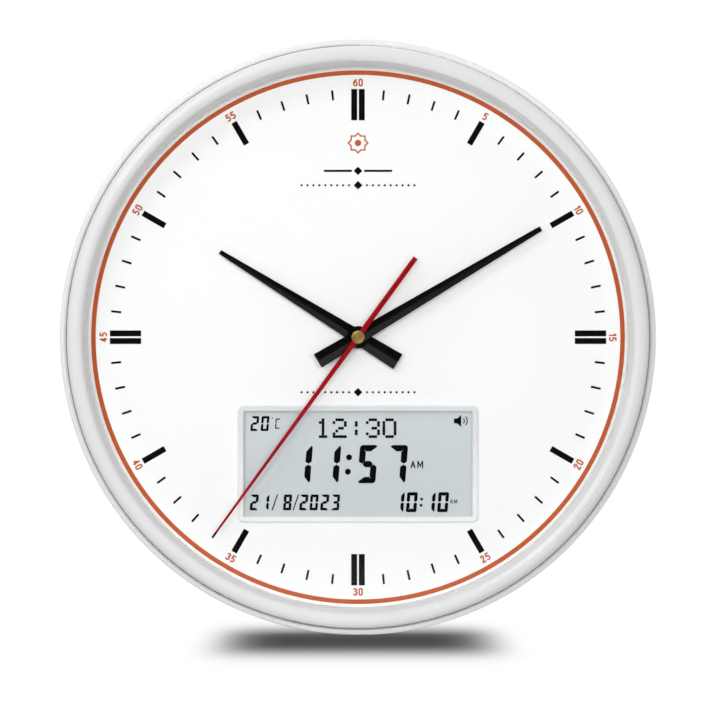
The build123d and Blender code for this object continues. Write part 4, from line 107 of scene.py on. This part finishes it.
# ================================================================ materials
class Finish:
    """A material: one Principled shader whose colour, roughness and bump are varied by textures."""

    def __init__(self, name, **sockets):
        self.material = bpy.data.materials.new(name)
        self.material.use_nodes = True
        self.tree = self.material.node_tree
        self.shader = self.tree.nodes["Principled BSDF"]
        self.place = self.add("TexCoord").outputs["Object"]
        for socket, value in sockets.items():
            self.feed(self.shader.inputs[socket.replace("_", " ")], value)

    def feed(self, socket, value):
        feed(self.tree, socket, value)

    def add(self, kind, inputs=None, **settings):
        return add_node(self.tree, kind, inputs or {}, **settings)

    def maths(self, operation, first, second, **settings):
        return self.add("Math", {0: first, 1: second}, operation=operation, **settings).outputs[0]

    def stretched(self, scale, shift=(0.0, 0.0, 0.0)):
        """The object's coordinates, moved and then scaled along each axis."""
        moved = self.add("VectorMath", {0: self.place, 1: shift}, operation="SUBTRACT").outputs[0]
        return self.add("VectorMath", {0: moved, 1: scale}, operation="MULTIPLY").outputs[0]

    def noise(self, scale, detail, place=None, rough=0.5):
        inputs = {"Vector": place or self.place, "Scale": scale, "Detail": detail, "Roughness": rough}
        return self.add("TexNoise", inputs).outputs["Fac"]

    def rings(self, scale, centre, distortion=0.0):
        """Rings round an axis along Y through the centre."""
        place = self.stretched((1.0, 1.0, 1.0), centre)
        inputs = {"Vector": place, "Scale": scale, "Distortion": distortion}
        return self.add("TexWave", inputs, wave_type="RINGS", rings_direction="Y").outputs["Fac"]

    def bands(self, scale, direction, distortion):
        inputs = {"Vector": self.place, "Scale": scale, "Distortion": distortion}
        return self.add("TexWave", inputs, bands_direction=direction).outputs["Fac"]

    def along(self, axis, start, end):
        """0 to 1 between two places along an axis of the object, with soft ends."""
        parts = self.add("SeparateXYZ", {0: self.place}).outputs
        inputs = {"Value": parts["XYZ".index(axis)], "From Min": start, "From Max": end}
        return self.add("MapRange", inputs, interpolation_type="SMOOTHSTEP").outputs[0]

    def mapped(self, value, low, high, start=0.0, end=1.0):
        inputs = {"Value": value, "From Min": start, "From Max": end, "To Min": low, "To Max": high}
        return self.add("MapRange", inputs).outputs[0]

    def blend(self, factor, first, second):
        # The node repeats its socket names for each data type: 6, 7 and output 2 are the colours'.
        return self.add("Mix", {0: factor, 6: first, 7: second}, data_type="RGBA").outputs[2]

    def colour(self, factor, first, second):
        self.feed(self.shader.inputs["Base Color"], self.blend(factor, first, second))

    def roughness(self, value, low, high):
        self.feed(self.shader.inputs["Roughness"], self.mapped(value, low, high))

    def bump(self, height, strength, distance):
        """Adds relief on top of any that the shader has already."""
        inputs = {"Height": height, "Strength": strength, "Distance": distance}
        last = self.shader.inputs["Normal"]
        if last.links:
            inputs["Normal"] = last.links[0].from_socket
        self.feed(last, self.add("Bump", inputs).outputs[0])


def scaled(colour, factor):
    return tuple(channel * factor for channel in colour)


def moulded(name, colour, roughness, grain, depth, **sockets):
    """Injection-moulded plastic: faint flow marks in the colour and a fine surface grain."""
    finish = Finish(name, **sockets)
    flow = finish.noise(14.0, 4.0)
    finish.colour(finish.mapped(flow, 0.0, 1.0, 0.3, 0.7), scaled(colour, 0.985), scaled(colour, 1.015))
    finish.roughness(finish.noise(70.0, 5.0), roughness * 0.85, roughness * 1.15)
    finish.bump(finish.noise(grain, 2.0), 0.5, depth)
    return finish.material


def grained(name, tone, colours, gloss, roughness, grain, relief, **sockets):
    """Colour, roughness and relief each follow a noise of their own, given as scale and detail."""
    finish = Finish(name, **sockets)
    finish.colour(finish.noise(*tone), *colours)
    finish.roughness(finish.noise(*gloss), *roughness)
    finish.bump(finish.noise(*grain), *relief)
    return finish.material


def case_white():
    """The back case: glossy on its rim, fine spark texture over the back."""
    finish = Finish("white_case_plastic")
    flow = finish.noise(12.0, 4.0)
    flow = finish.mapped(flow, 0.0, 1.0, 0.3, 0.7)
    finish.colour(flow, scaled(BACK_WHITE, 0.98), scaled(BACK_WHITE, 1.02))
    front = finish.along("Y", *RIM_TURN)
    spots = finish.mapped(finish.noise(90.0, 4.0), -0.03, 0.03)
    base = finish.mapped(front, 0.42, 0.25)
    finish.feed(finish.shader.inputs["Roughness"], finish.maths("ADD", base, spots))
    finish.bump(finish.noise(2600.0, 2.0), finish.mapped(front, 0.35, 0.02), 0.00006)
    return finish.material


def printed_dial():
    """White coated card with a barely visible tooth."""
    return grained("dial_card", (25.0, 5.0), (scaled(DIAL_WHITE, 0.992), DIAL_WHITE),
                   (900.0, 3.0), (0.50, 0.62), (3200.0, 3.0), (0.25, 0.00002), Specular_IOR_Level=0.25)


def ink(name, colour):
    """Screen-printed ink, slightly uneven in density, with a low sheen."""
    return grained(name, (1400.0, 4.0), (scaled(colour, 0.9), scaled(colour, 1.1)),
                   (600.0, 3.0), (0.42, 0.58), (2600.0, 2.0), (0.2, 0.00002), Specular_IOR_Level=0.05)


def lacquer(name, colour, lightening, roughness, sheen):
    """Sprayed lacquer on pressed sheet: fine orange peel and faint polishing marks."""
    finish = Finish(name, Specular_IOR_Level=sheen)
    marks = finish.mapped(finish.noise(160.0, 6.0), 0.0, 1.0, 0.35, 0.75)
    finish.colour(marks, colour, scaled(colour, lightening))
    finish.roughness(finish.noise(240.0, 4.0), roughness * 0.85, roughness * 1.2)
    finish.bump(finish.noise(1500.0, 2.0), 0.18, 0.00002)
    return finish.material


def turned_brass(centre):
    """Brass with the fine rings that a lathe leaves, and the crossed sheen that they give."""
    finish = Finish("turned_brass", Metallic=1.0, Anisotropic=0.85)
    finish.colour(finish.noise(500.0, 5.0), scaled(BRASS, 0.85), scaled(BRASS, 1.15))
    finish.roughness(finish.noise(700.0, 4.0), 0.36, 0.50)
    finish.bump(finish.rings(1500.0, centre, distortion=0.4), 0.35, 0.00004)
    outward = finish.stretched((1.0, 0.0, 1.0), centre)
    spoke = finish.add("VectorMath", {0: outward}, operation="NORMALIZE").outputs[0]
    finish.feed(finish.shader.inputs["Tangent"], spoke)
    return finish.material


def brushed_steel(name, colour, roughness):
    """Rolled or zinc-plated steel with drawn streaks."""
    finish = Finish(name, Metallic=1.0)
    streaks = finish.noise(60.0, 6.0, finish.stretched(STREAKS))
    tone = finish.mapped(streaks, 0.0, 1.0, 0.3, 0.7)
    finish.colour(tone, scaled(colour, 0.86), scaled(colour, 1.12))
    finish.roughness(streaks, roughness * 0.75, roughness * 1.3)
    finish.bump(streaks, 0.12, 0.00003)
    return finish.material


def lcd_back():
    """Reflective film behind the liquid crystal: silver grey with painted light that makes it lighter
    towards the top, finely grained.
    """
    finish = Finish("lcd_panel_glass", Specular_IOR_Level=0.3)
    low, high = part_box("lcd_panel")
    rise = finish.along("Z", low[2], high[2])
    # Painted light: the film's colour is lighter towards the top.
    shade = finish.blend(rise, scaled(LCD_GREY, 0.96), scaled(LCD_GREY, 1.03))
    grain = finish.mapped(finish.noise(2400.0, 2.0), 0.0, 0.35, 0.2, 0.8)
    finish.colour(grain, shade, scaled(LCD_GREY, 1.06))
    finish.roughness(finish.noise(300.0, 3.0), 0.30, 0.42)
    finish.bump(finish.noise(1800.0, 2.0), 0.12, 0.00001)
    return finish.material


def display_frame():
    """Satin white plastic with painted shade: a little greyer towards its top, lighter towards its bottom.
    """
    low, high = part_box("lcd_frame")
    finish = Finish("display_frame_plastic")
    rise = finish.along("Z", low[2], high[2])
    # Painted shade: the colour greys from the frame's bottom to its top.
    finish.colour(rise, *FRAME_PAINTED_SHADE_TONES)
    finish.roughness(finish.noise(80.0, 4.0), 0.28, 0.38)
    finish.bump(finish.noise(1100.0, 2.0), 0.3, 0.00001)
    return finish.material


def lcd_ink():
    """Dark liquid crystal of the segments that are on."""
    finish = Finish("lcd_segment_ink", Specular_IOR_Level=0.05)
    finish.colour(finish.noise(900.0, 3.0), *SEGMENT_TONES)
    finish.roughness(finish.noise(500.0, 3.0), 0.32, 0.48)
    return finish.material


def clear_lens():
    """Coated clear pane: it mirrors more at a glancing angle, and lets everything else through."""
    finish = Finish("clear_lens", Base_Color=(1.0, 1.0, 1.0), Metallic=1.0)
    finish.roughness(finish.noise(9.0, 5.0), 0.0, 0.03)
    clear = finish.add("BsdfTransparent", {"Color": LENS_TINT}).outputs[0]
    mirrored = finish.add("Fresnel", {"IOR": LENS_IOR}).outputs[0]
    pane = finish.add("MixShader", {0: mirrored, 1: clear, 2: finish.shader.outputs[0]})
    finish.feed(finish.tree.nodes["Material Output"].inputs["Surface"], pane.outputs[0])
    return finish.material


def circuit_board(name, colour):
    """Solder mask over copper tracks that show as paler lines."""
    finish = Finish(name)
    upright = {"Vector": finish.place, "Rotation": (math.radians(90), 0, 0)}
    turned = finish.add("Mapping", upright).outputs[0]
    tracks = finish.add("TexBrick", {"Vector": turned, "Scale": TRACK_SCALE, "Mortar Size": TRACK_WIDTH,
                                     "Color1": (0, 0, 0), "Color2": (0, 0, 0), "Mortar": (1, 1, 1)})
    line = tracks.outputs["Fac"]
    mask = finish.blend(finish.noise(300.0, 3.0), scaled(colour, 0.85), colour)
    finish.colour(line, mask, scaled(colour, 1.9))
    finish.roughness(finish.noise(400.0, 3.0), 0.28, 0.42)
    finish.bump(line, 0.4, 0.00004)
    return finish.material


def copper_winding():
    """Enamelled copper wire wound side by side, with painted shade in the grooves between turns and
    painted highlights on their crests.
    """
    finish = Finish("copper_winding", Metallic=1.0)
    turns = finish.bands(330.0, "X", 0.3)
    # Painted shade and highlight: the colour follows the turns' relief, dark in the grooves and bright on
    # the crests.
    finish.colour(turns, *COPPER_PAINTED_SHADE_TONES)
    finish.roughness(finish.noise(900.0, 2.0), 0.22, 0.4)
    finish.bump(turns, 0.8, 0.00012)
    return finish.material


def cell_sleeve():
    """Shrink sleeve of an AA cell or a capacitor: glossy, dark and a little mottled."""
    return grained("cell_sleeve", (40.0, 4.0), SLEEVE_TONES, (300.0, 3.0), (0.25, 0.4),
                   (900.0, 3.0), (0.15, 0.00003), Coat_Weight=0.5, Coat_Roughness=0.1)


def paper_cone():
    """Black fibrous paper with concentric ribs."""
    low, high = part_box("speaker_cone")
    centre = [(low[i] + high[i]) / 2 for i in range(3)]
    finish = Finish("speaker_paper", Specular_IOR_Level=0.2)
    fibres = finish.noise(700.0, 8.0, rough=0.7)
    finish.colour(fibres, *PAPER_TONES)
    finish.roughness(fibres, 0.75, 0.95)
    finish.bump(fibres, 0.5, 0.00015)
    finish.bump(finish.rings(120.0, centre), 0.4, 0.0002)
    return finish.material


def insulation(name, colour):
    """Soft plastic round a wire."""
    return grained(name, (120.0, 3.0), (scaled(colour, 0.85), scaled(colour, 1.15)),
                   (400.0, 3.0), (0.36, 0.5), (900.0, 2.0), (0.15, 0.00003))


def rubber():
    """Matt black moulded rubber."""
    return grained("black_rubber", (200.0, 4.0), RUBBER_TONES, (500.0, 3.0), (0.6, 0.8),
                   (1600.0, 3.0), (0.3, 0.00004), Specular_IOR_Level=0.3)


def ferrite():
    """Pressed and fired magnet: dark grey, coarse and matt."""
    return grained("ferrite_magnet", (350.0, 8.0), FERRITE_TONES, (300.0, 5.0), (0.5, 0.7),
                   (1200.0, 5.0), (0.35, 0.00008))


def dress():
    """Gives every node its material."""
    # Moulded plastics: name, colour, roughness, scale of the grain and its depth.
    gear = moulded("acetal_white", ACETAL_WHITE, 0.38, 900.0, 0.00002)
    green_gear = moulded("acetal_green", ACETAL_GREEN, 0.38, 900.0, 0.00002)
    movement = moulded("movement_plastic", MOVEMENT_BLACK, 0.42, 1800.0, 0.00005)
    black = moulded("black_plastic", SWITCH_BLACK, 0.4, 1500.0, 0.00003)
    button = moulded("grey_button_plastic", BUTTON_GREY, 0.35, 1200.0, 0.00003)
    satin = moulded("white_satin_plastic", SATIN_WHITE, 0.36, 1100.0, 0.00002)
    grey = moulded("grey_plastic", HOLDER_GREY, 0.45, 1300.0, 0.00003)
    gloss = moulded("white_gloss_plastic", GLOSS_WHITE, 0.26, 650.0, 0.00001, Specular_IOR_Level=0.4)
    bright = brushed_steel("nickel_plate", NICKEL, 0.24)
    steel = brushed_steel("zinc_steel", ZINC, 0.34)
    brass = turned_brass((AXIS_X, 0.0, AXIS_Z))
    black_hand = lacquer("black_lacquer", BLACK_LACQUER, 1.8, 0.13, 0.4)
    red_hand = lacquer("red_lacquer", RED_LACQUER, 1.25, 0.13, 0.2)
    finishes = {
        case_white(): ["back_cover"],
        gloss: ["front_bezel", "battery_door"],
        clear_lens(): ["front_lens"],
        satin: ["spacer_ring", "lead_sockets"],
        display_frame(): ["lcd_frame"],
        printed_dial(): ["dial_plate"],
        ink("black_ink", BLACK_INK): ["dial_print_black"],
        ink("orange_ink", ORANGE_INK): ["dial_print_orange"],
        black_hand: ["hour_hand", "minute_hand"],
        red_hand: ["second_hand"],
        brass: ["second_hand_cap", "threaded_bush", "fixing_nut"],
        lcd_back(): ["lcd_panel"],
        lcd_ink(): ["lcd_segments"],
        grey: ["lcd_holder"],
        rubber(): ["zebra_strip", "fixing_washer"],
        circuit_board("green_board", BOARD_GREEN): ["main_board"],
        circuit_board("brown_board", BOARD_BROWN): ["movement_board"],
        black: ["board_chips", "button_switches", "slide_switch"],
        cell_sleeve(): ["aa_cells", "board_capacitors"],
        bright: ["quartz_crystals", "battery_springs", "battery_contacts", "case_screws", "small_screws"],
        steel: ["speaker_frame", "hanger_plate", "stator"],
        paper_cone(): ["speaker_cone"],
        ferrite(): ["speaker_magnet"],
        insulation("black_insulation", WIRE_BLACK): ["speaker_leads"],
        insulation("red_insulation", WIRE_RED): ["battery_leads"],
        movement: ["movement_front_case", "movement_back_case"],
        copper_winding(): ["coil"],
        gear: ["rotor", "intermediate_wheel", "second_wheel", "centre_wheel", "minute_wheel"],
        green_gear: ["third_wheel", "cannon_pinion", "hour_wheel"],
        button: ["setting_knob", "slide_switch_knob"] + [f"button_{number}" for number in range(1, 7)],
    }
    for material, names in finishes.items():
        for name in names:
            node = frame["nodes"][name]
            node.data.materials.clear()
            node.data.materials.append(material)


# ================================================================ studio
FRONT = (AXIS_X, FACE_Y, AXIS_Z)
FOOT = (AXIS_X, WALL_Y, FLOOR_Z)

# The world's strength as a lamp, and in reflections on the camera's side, where a mirrored direction's Y
# lies below the first edge. Past the second edge, and for the camera itself, it is white.
AMBIENT = 0.22
CAMERA_SIDE = 0.04
CAMERA_SIDE_EDGES = (-0.93, -0.72)

# The floor's colour where it lights the object, and the dark colour the camera sees on it, which paints
# the shadow inside the patch below; the lamps' real shadow darkens it further.
FLOOR_AS_LAMP = (0.85, 0.85, 0.85)
FLOOR_PAINTED_SHADOW = (0.095, 0.095, 0.095)
FLOOR_HALF = 1.2
# Strength of the floor's white as it lights matt surfaces, and where reflections of it fade out along Y.
FLOOR_GLOW = 0.4
FLOOR_FADE = (FACE_Y - 1.1, FACE_Y - 0.35)

# The patch of floor that holds the painted shadow, a dark ellipse set by these numbers and not by the
# lamps: its half width and half depth, and how sharply it ends.
PAINTED_SHADOW_REACH = (0.0755, 0.096)
PAINTED_SHADOW_EDGE = (8.0, 3.0)
PAINTED_SHADOW_CENTRE = (AXIS_X, FACE_Y - 0.045, FLOOR_Z)

# Two lamps by the camera, weak ones at the sides, the key lamp high on the left, one overhead, one behind.
# Each: name, place, what it faces, width and height, power, and whether the object mirrors it.
LAMPS = (
    ("front_0", (AXIS_X - 0.55, FACE_Y - 2.1, FLOOR_Z + 0.42), FRONT, (0.9, 0.6), 15.7, False),
    ("side_0", (AXIS_X - 1.3, FACE_Y - 0.15, FLOOR_Z + 0.3), FRONT, (0.6, 0.5), 1.2, False),
    ("front_2", (AXIS_X + 0.55, FACE_Y - 2.1, FLOOR_Z + 0.42), FRONT, (0.9, 0.6), 15.7, False),
    ("side_2", (AXIS_X + 1.3, FACE_Y - 0.15, FLOOR_Z + 0.3), FRONT, (0.6, 0.5), 1.2, False),
    ("high", (AXIS_X - 0.85, FACE_Y - 1.2, AXIS_Z + 1.1), FRONT, (0.8, 0.8), 9.0, True),
    ("overhead", (AXIS_X - 0.1, WALL_Y + 0.2, AXIS_Z + 1.1), FRONT, (1.2, 0.4), 4.0, False),
    ("behind", (AXIS_X - 0.05, WALL_Y + 1.0, FLOOR_Z + 1.3), FOOT, (0.9, 0.4), 14.0, False),
)

# Straight ahead with a long lens, a little below the hands' axis.
CAMERA_DISTANCE = 1.9
PICTURE_WIDTH = 0.4004
CAMERA_OFFSET = (0.00111, -0.01268)
SENSOR_WIDTH_MM = 36.0
CLIP_END = 20.0


def world():
    """White for the camera and for reflections, darker on the camera's own side, and dim as a lamp."""
    studio = bpy.data.worlds.new("studio")
    bpy.context.scene.world = studio
    studio.use_nodes = True
    tree = studio.node_tree
    background = tree.nodes["Background"].inputs
    rays = add_node(tree, "LightPath", {}).outputs
    view = add_node(tree, "TexCoord", {}).outputs["Generated"]
    direction = add_node(tree, "SeparateXYZ", {0: view}).outputs
    start, end = CAMERA_SIDE_EDGES
    mirrored = add_node(tree, "MapRange", {"Value": direction["Y"], "From Min": start, "From Max": end,
                                           "To Min": CAMERA_SIDE, "To Max": 1.0}).outputs[0]
    # Sockets 2 and 3 are the mix node's plain numbers.
    dim = add_node(tree, "Mix", {0: rays["Is Glossy Ray"], 2: AMBIENT, 3: mirrored}, data_type="FLOAT")
    strength = add_node(tree, "Math", {0: dim.outputs[0], 1: rays["Is Camera Ray"]}, operation="MAXIMUM")
    feed(tree, background["Strength"], strength.outputs[0])
    feed(tree, background["Color"], (1.0, 1.0, 1.0))


def floor():
    """Pale paper as it lights the clock, seen dark by the camera in a painted shadow patch round the
    clock's foot, where the lamps' real shadow also falls, and plain white away from it.
    """
    mesh = bpy.data.meshes.new("floor")
    signs = ((-1, -1), (1, -1), (1, 1), (-1, 1))
    corners = [(AXIS_X + i * FLOOR_HALF, j * FLOOR_HALF, FLOOR_Z) for i, j in signs]
    mesh.from_pydata(corners, [], [(0, 1, 2, 3)])
    plane = bpy.data.objects.new("floor", mesh)
    bpy.context.collection.objects.link(plane)
    paper = Finish("floor_paper", Roughness=0.9, Specular_IOR_Level=0.0)
    rays = paper.add("LightPath").outputs
    # Painted shadow: the camera sees the paper nearly black, while lamps and matt surfaces see it pale.
    paper.colour(rays["Is Camera Ray"], FLOOR_AS_LAMP, FLOOR_PAINTED_SHADOW)
    away = paper.stretched((1 / PAINTED_SHADOW_REACH[0], 1 / PAINTED_SHADOW_REACH[1], 1.0), PAINTED_SHADOW_CENTRE)
    distance = paper.add("VectorMath", {0: away}, operation="ABSOLUTE").outputs[0]
    sides = paper.add("SeparateXYZ", {0: distance}).outputs
    across, along = (paper.maths("POWER", sides[axis], PAINTED_SHADOW_EDGE[axis]) for axis in (0, 1))
    # Painted shadow: 1 inside the ellipse round the clock's foot, falling to 0 outside, where the floor
    # turns white.
    dark = paper.maths("POWER", math.exp(-1), paper.maths("ADD", across, along))
    far = paper.maths("SUBTRACT", 1.0, dark)
    glossy = paper.mapped(rays["Is Glossy Ray"], 1.0, paper.along("Y", *FLOOR_FADE))
    glow = paper.maths("MULTIPLY", glossy, paper.mapped(rays["Is Diffuse Ray"], 1.0, FLOOR_GLOW))
    white = paper.add("Emission", {"Strength": glow}).outputs[0]
    mix = paper.add("MixShader", {0: far, 1: paper.shader.outputs[0], 2: white})
    paper.feed(paper.tree.nodes["Material Output"].inputs["Surface"], mix.outputs[0])
    mesh.materials.append(paper.material)


def softbox(name, place, target, size, power, mirrored):
    lamp = bpy.data.lights.new(name, "AREA")
    lamp.shape = "RECTANGLE"
    lamp.size, lamp.size_y = size
    lamp.energy = power
    holder = bpy.data.objects.new(name, lamp)
    bpy.context.collection.objects.link(holder)
    holder.location = place
    holder.rotation_euler = (Vector(target) - Vector(place)).to_track_quat("-Z", "Y").to_euler()
    holder.visible_camera = False
    holder.visible_glossy = mirrored


def camera():
    data = bpy.data.cameras.new("camera")
    data.sensor_width = SENSOR_WIDTH_MM
    data.lens = data.sensor_width * CAMERA_DISTANCE / PICTURE_WIDTH
    data.clip_end = CLIP_END
    holder = bpy.data.objects.new("camera", data)
    bpy.context.collection.objects.link(holder)
    holder.location = (AXIS_X + CAMERA_OFFSET[0], FACE_Y - CAMERA_DISTANCE, AXIS_Z + CAMERA_OFFSET[1])
    holder.rotation_euler = (math.radians(90), 0, 0)
    bpy.context.scene.camera = holder


dress()
world()
floor()
for lamp in LAMPS:
    softbox(*lamp)
camera()

bpy.context.scene.view_settings.view_transform = "Standard"
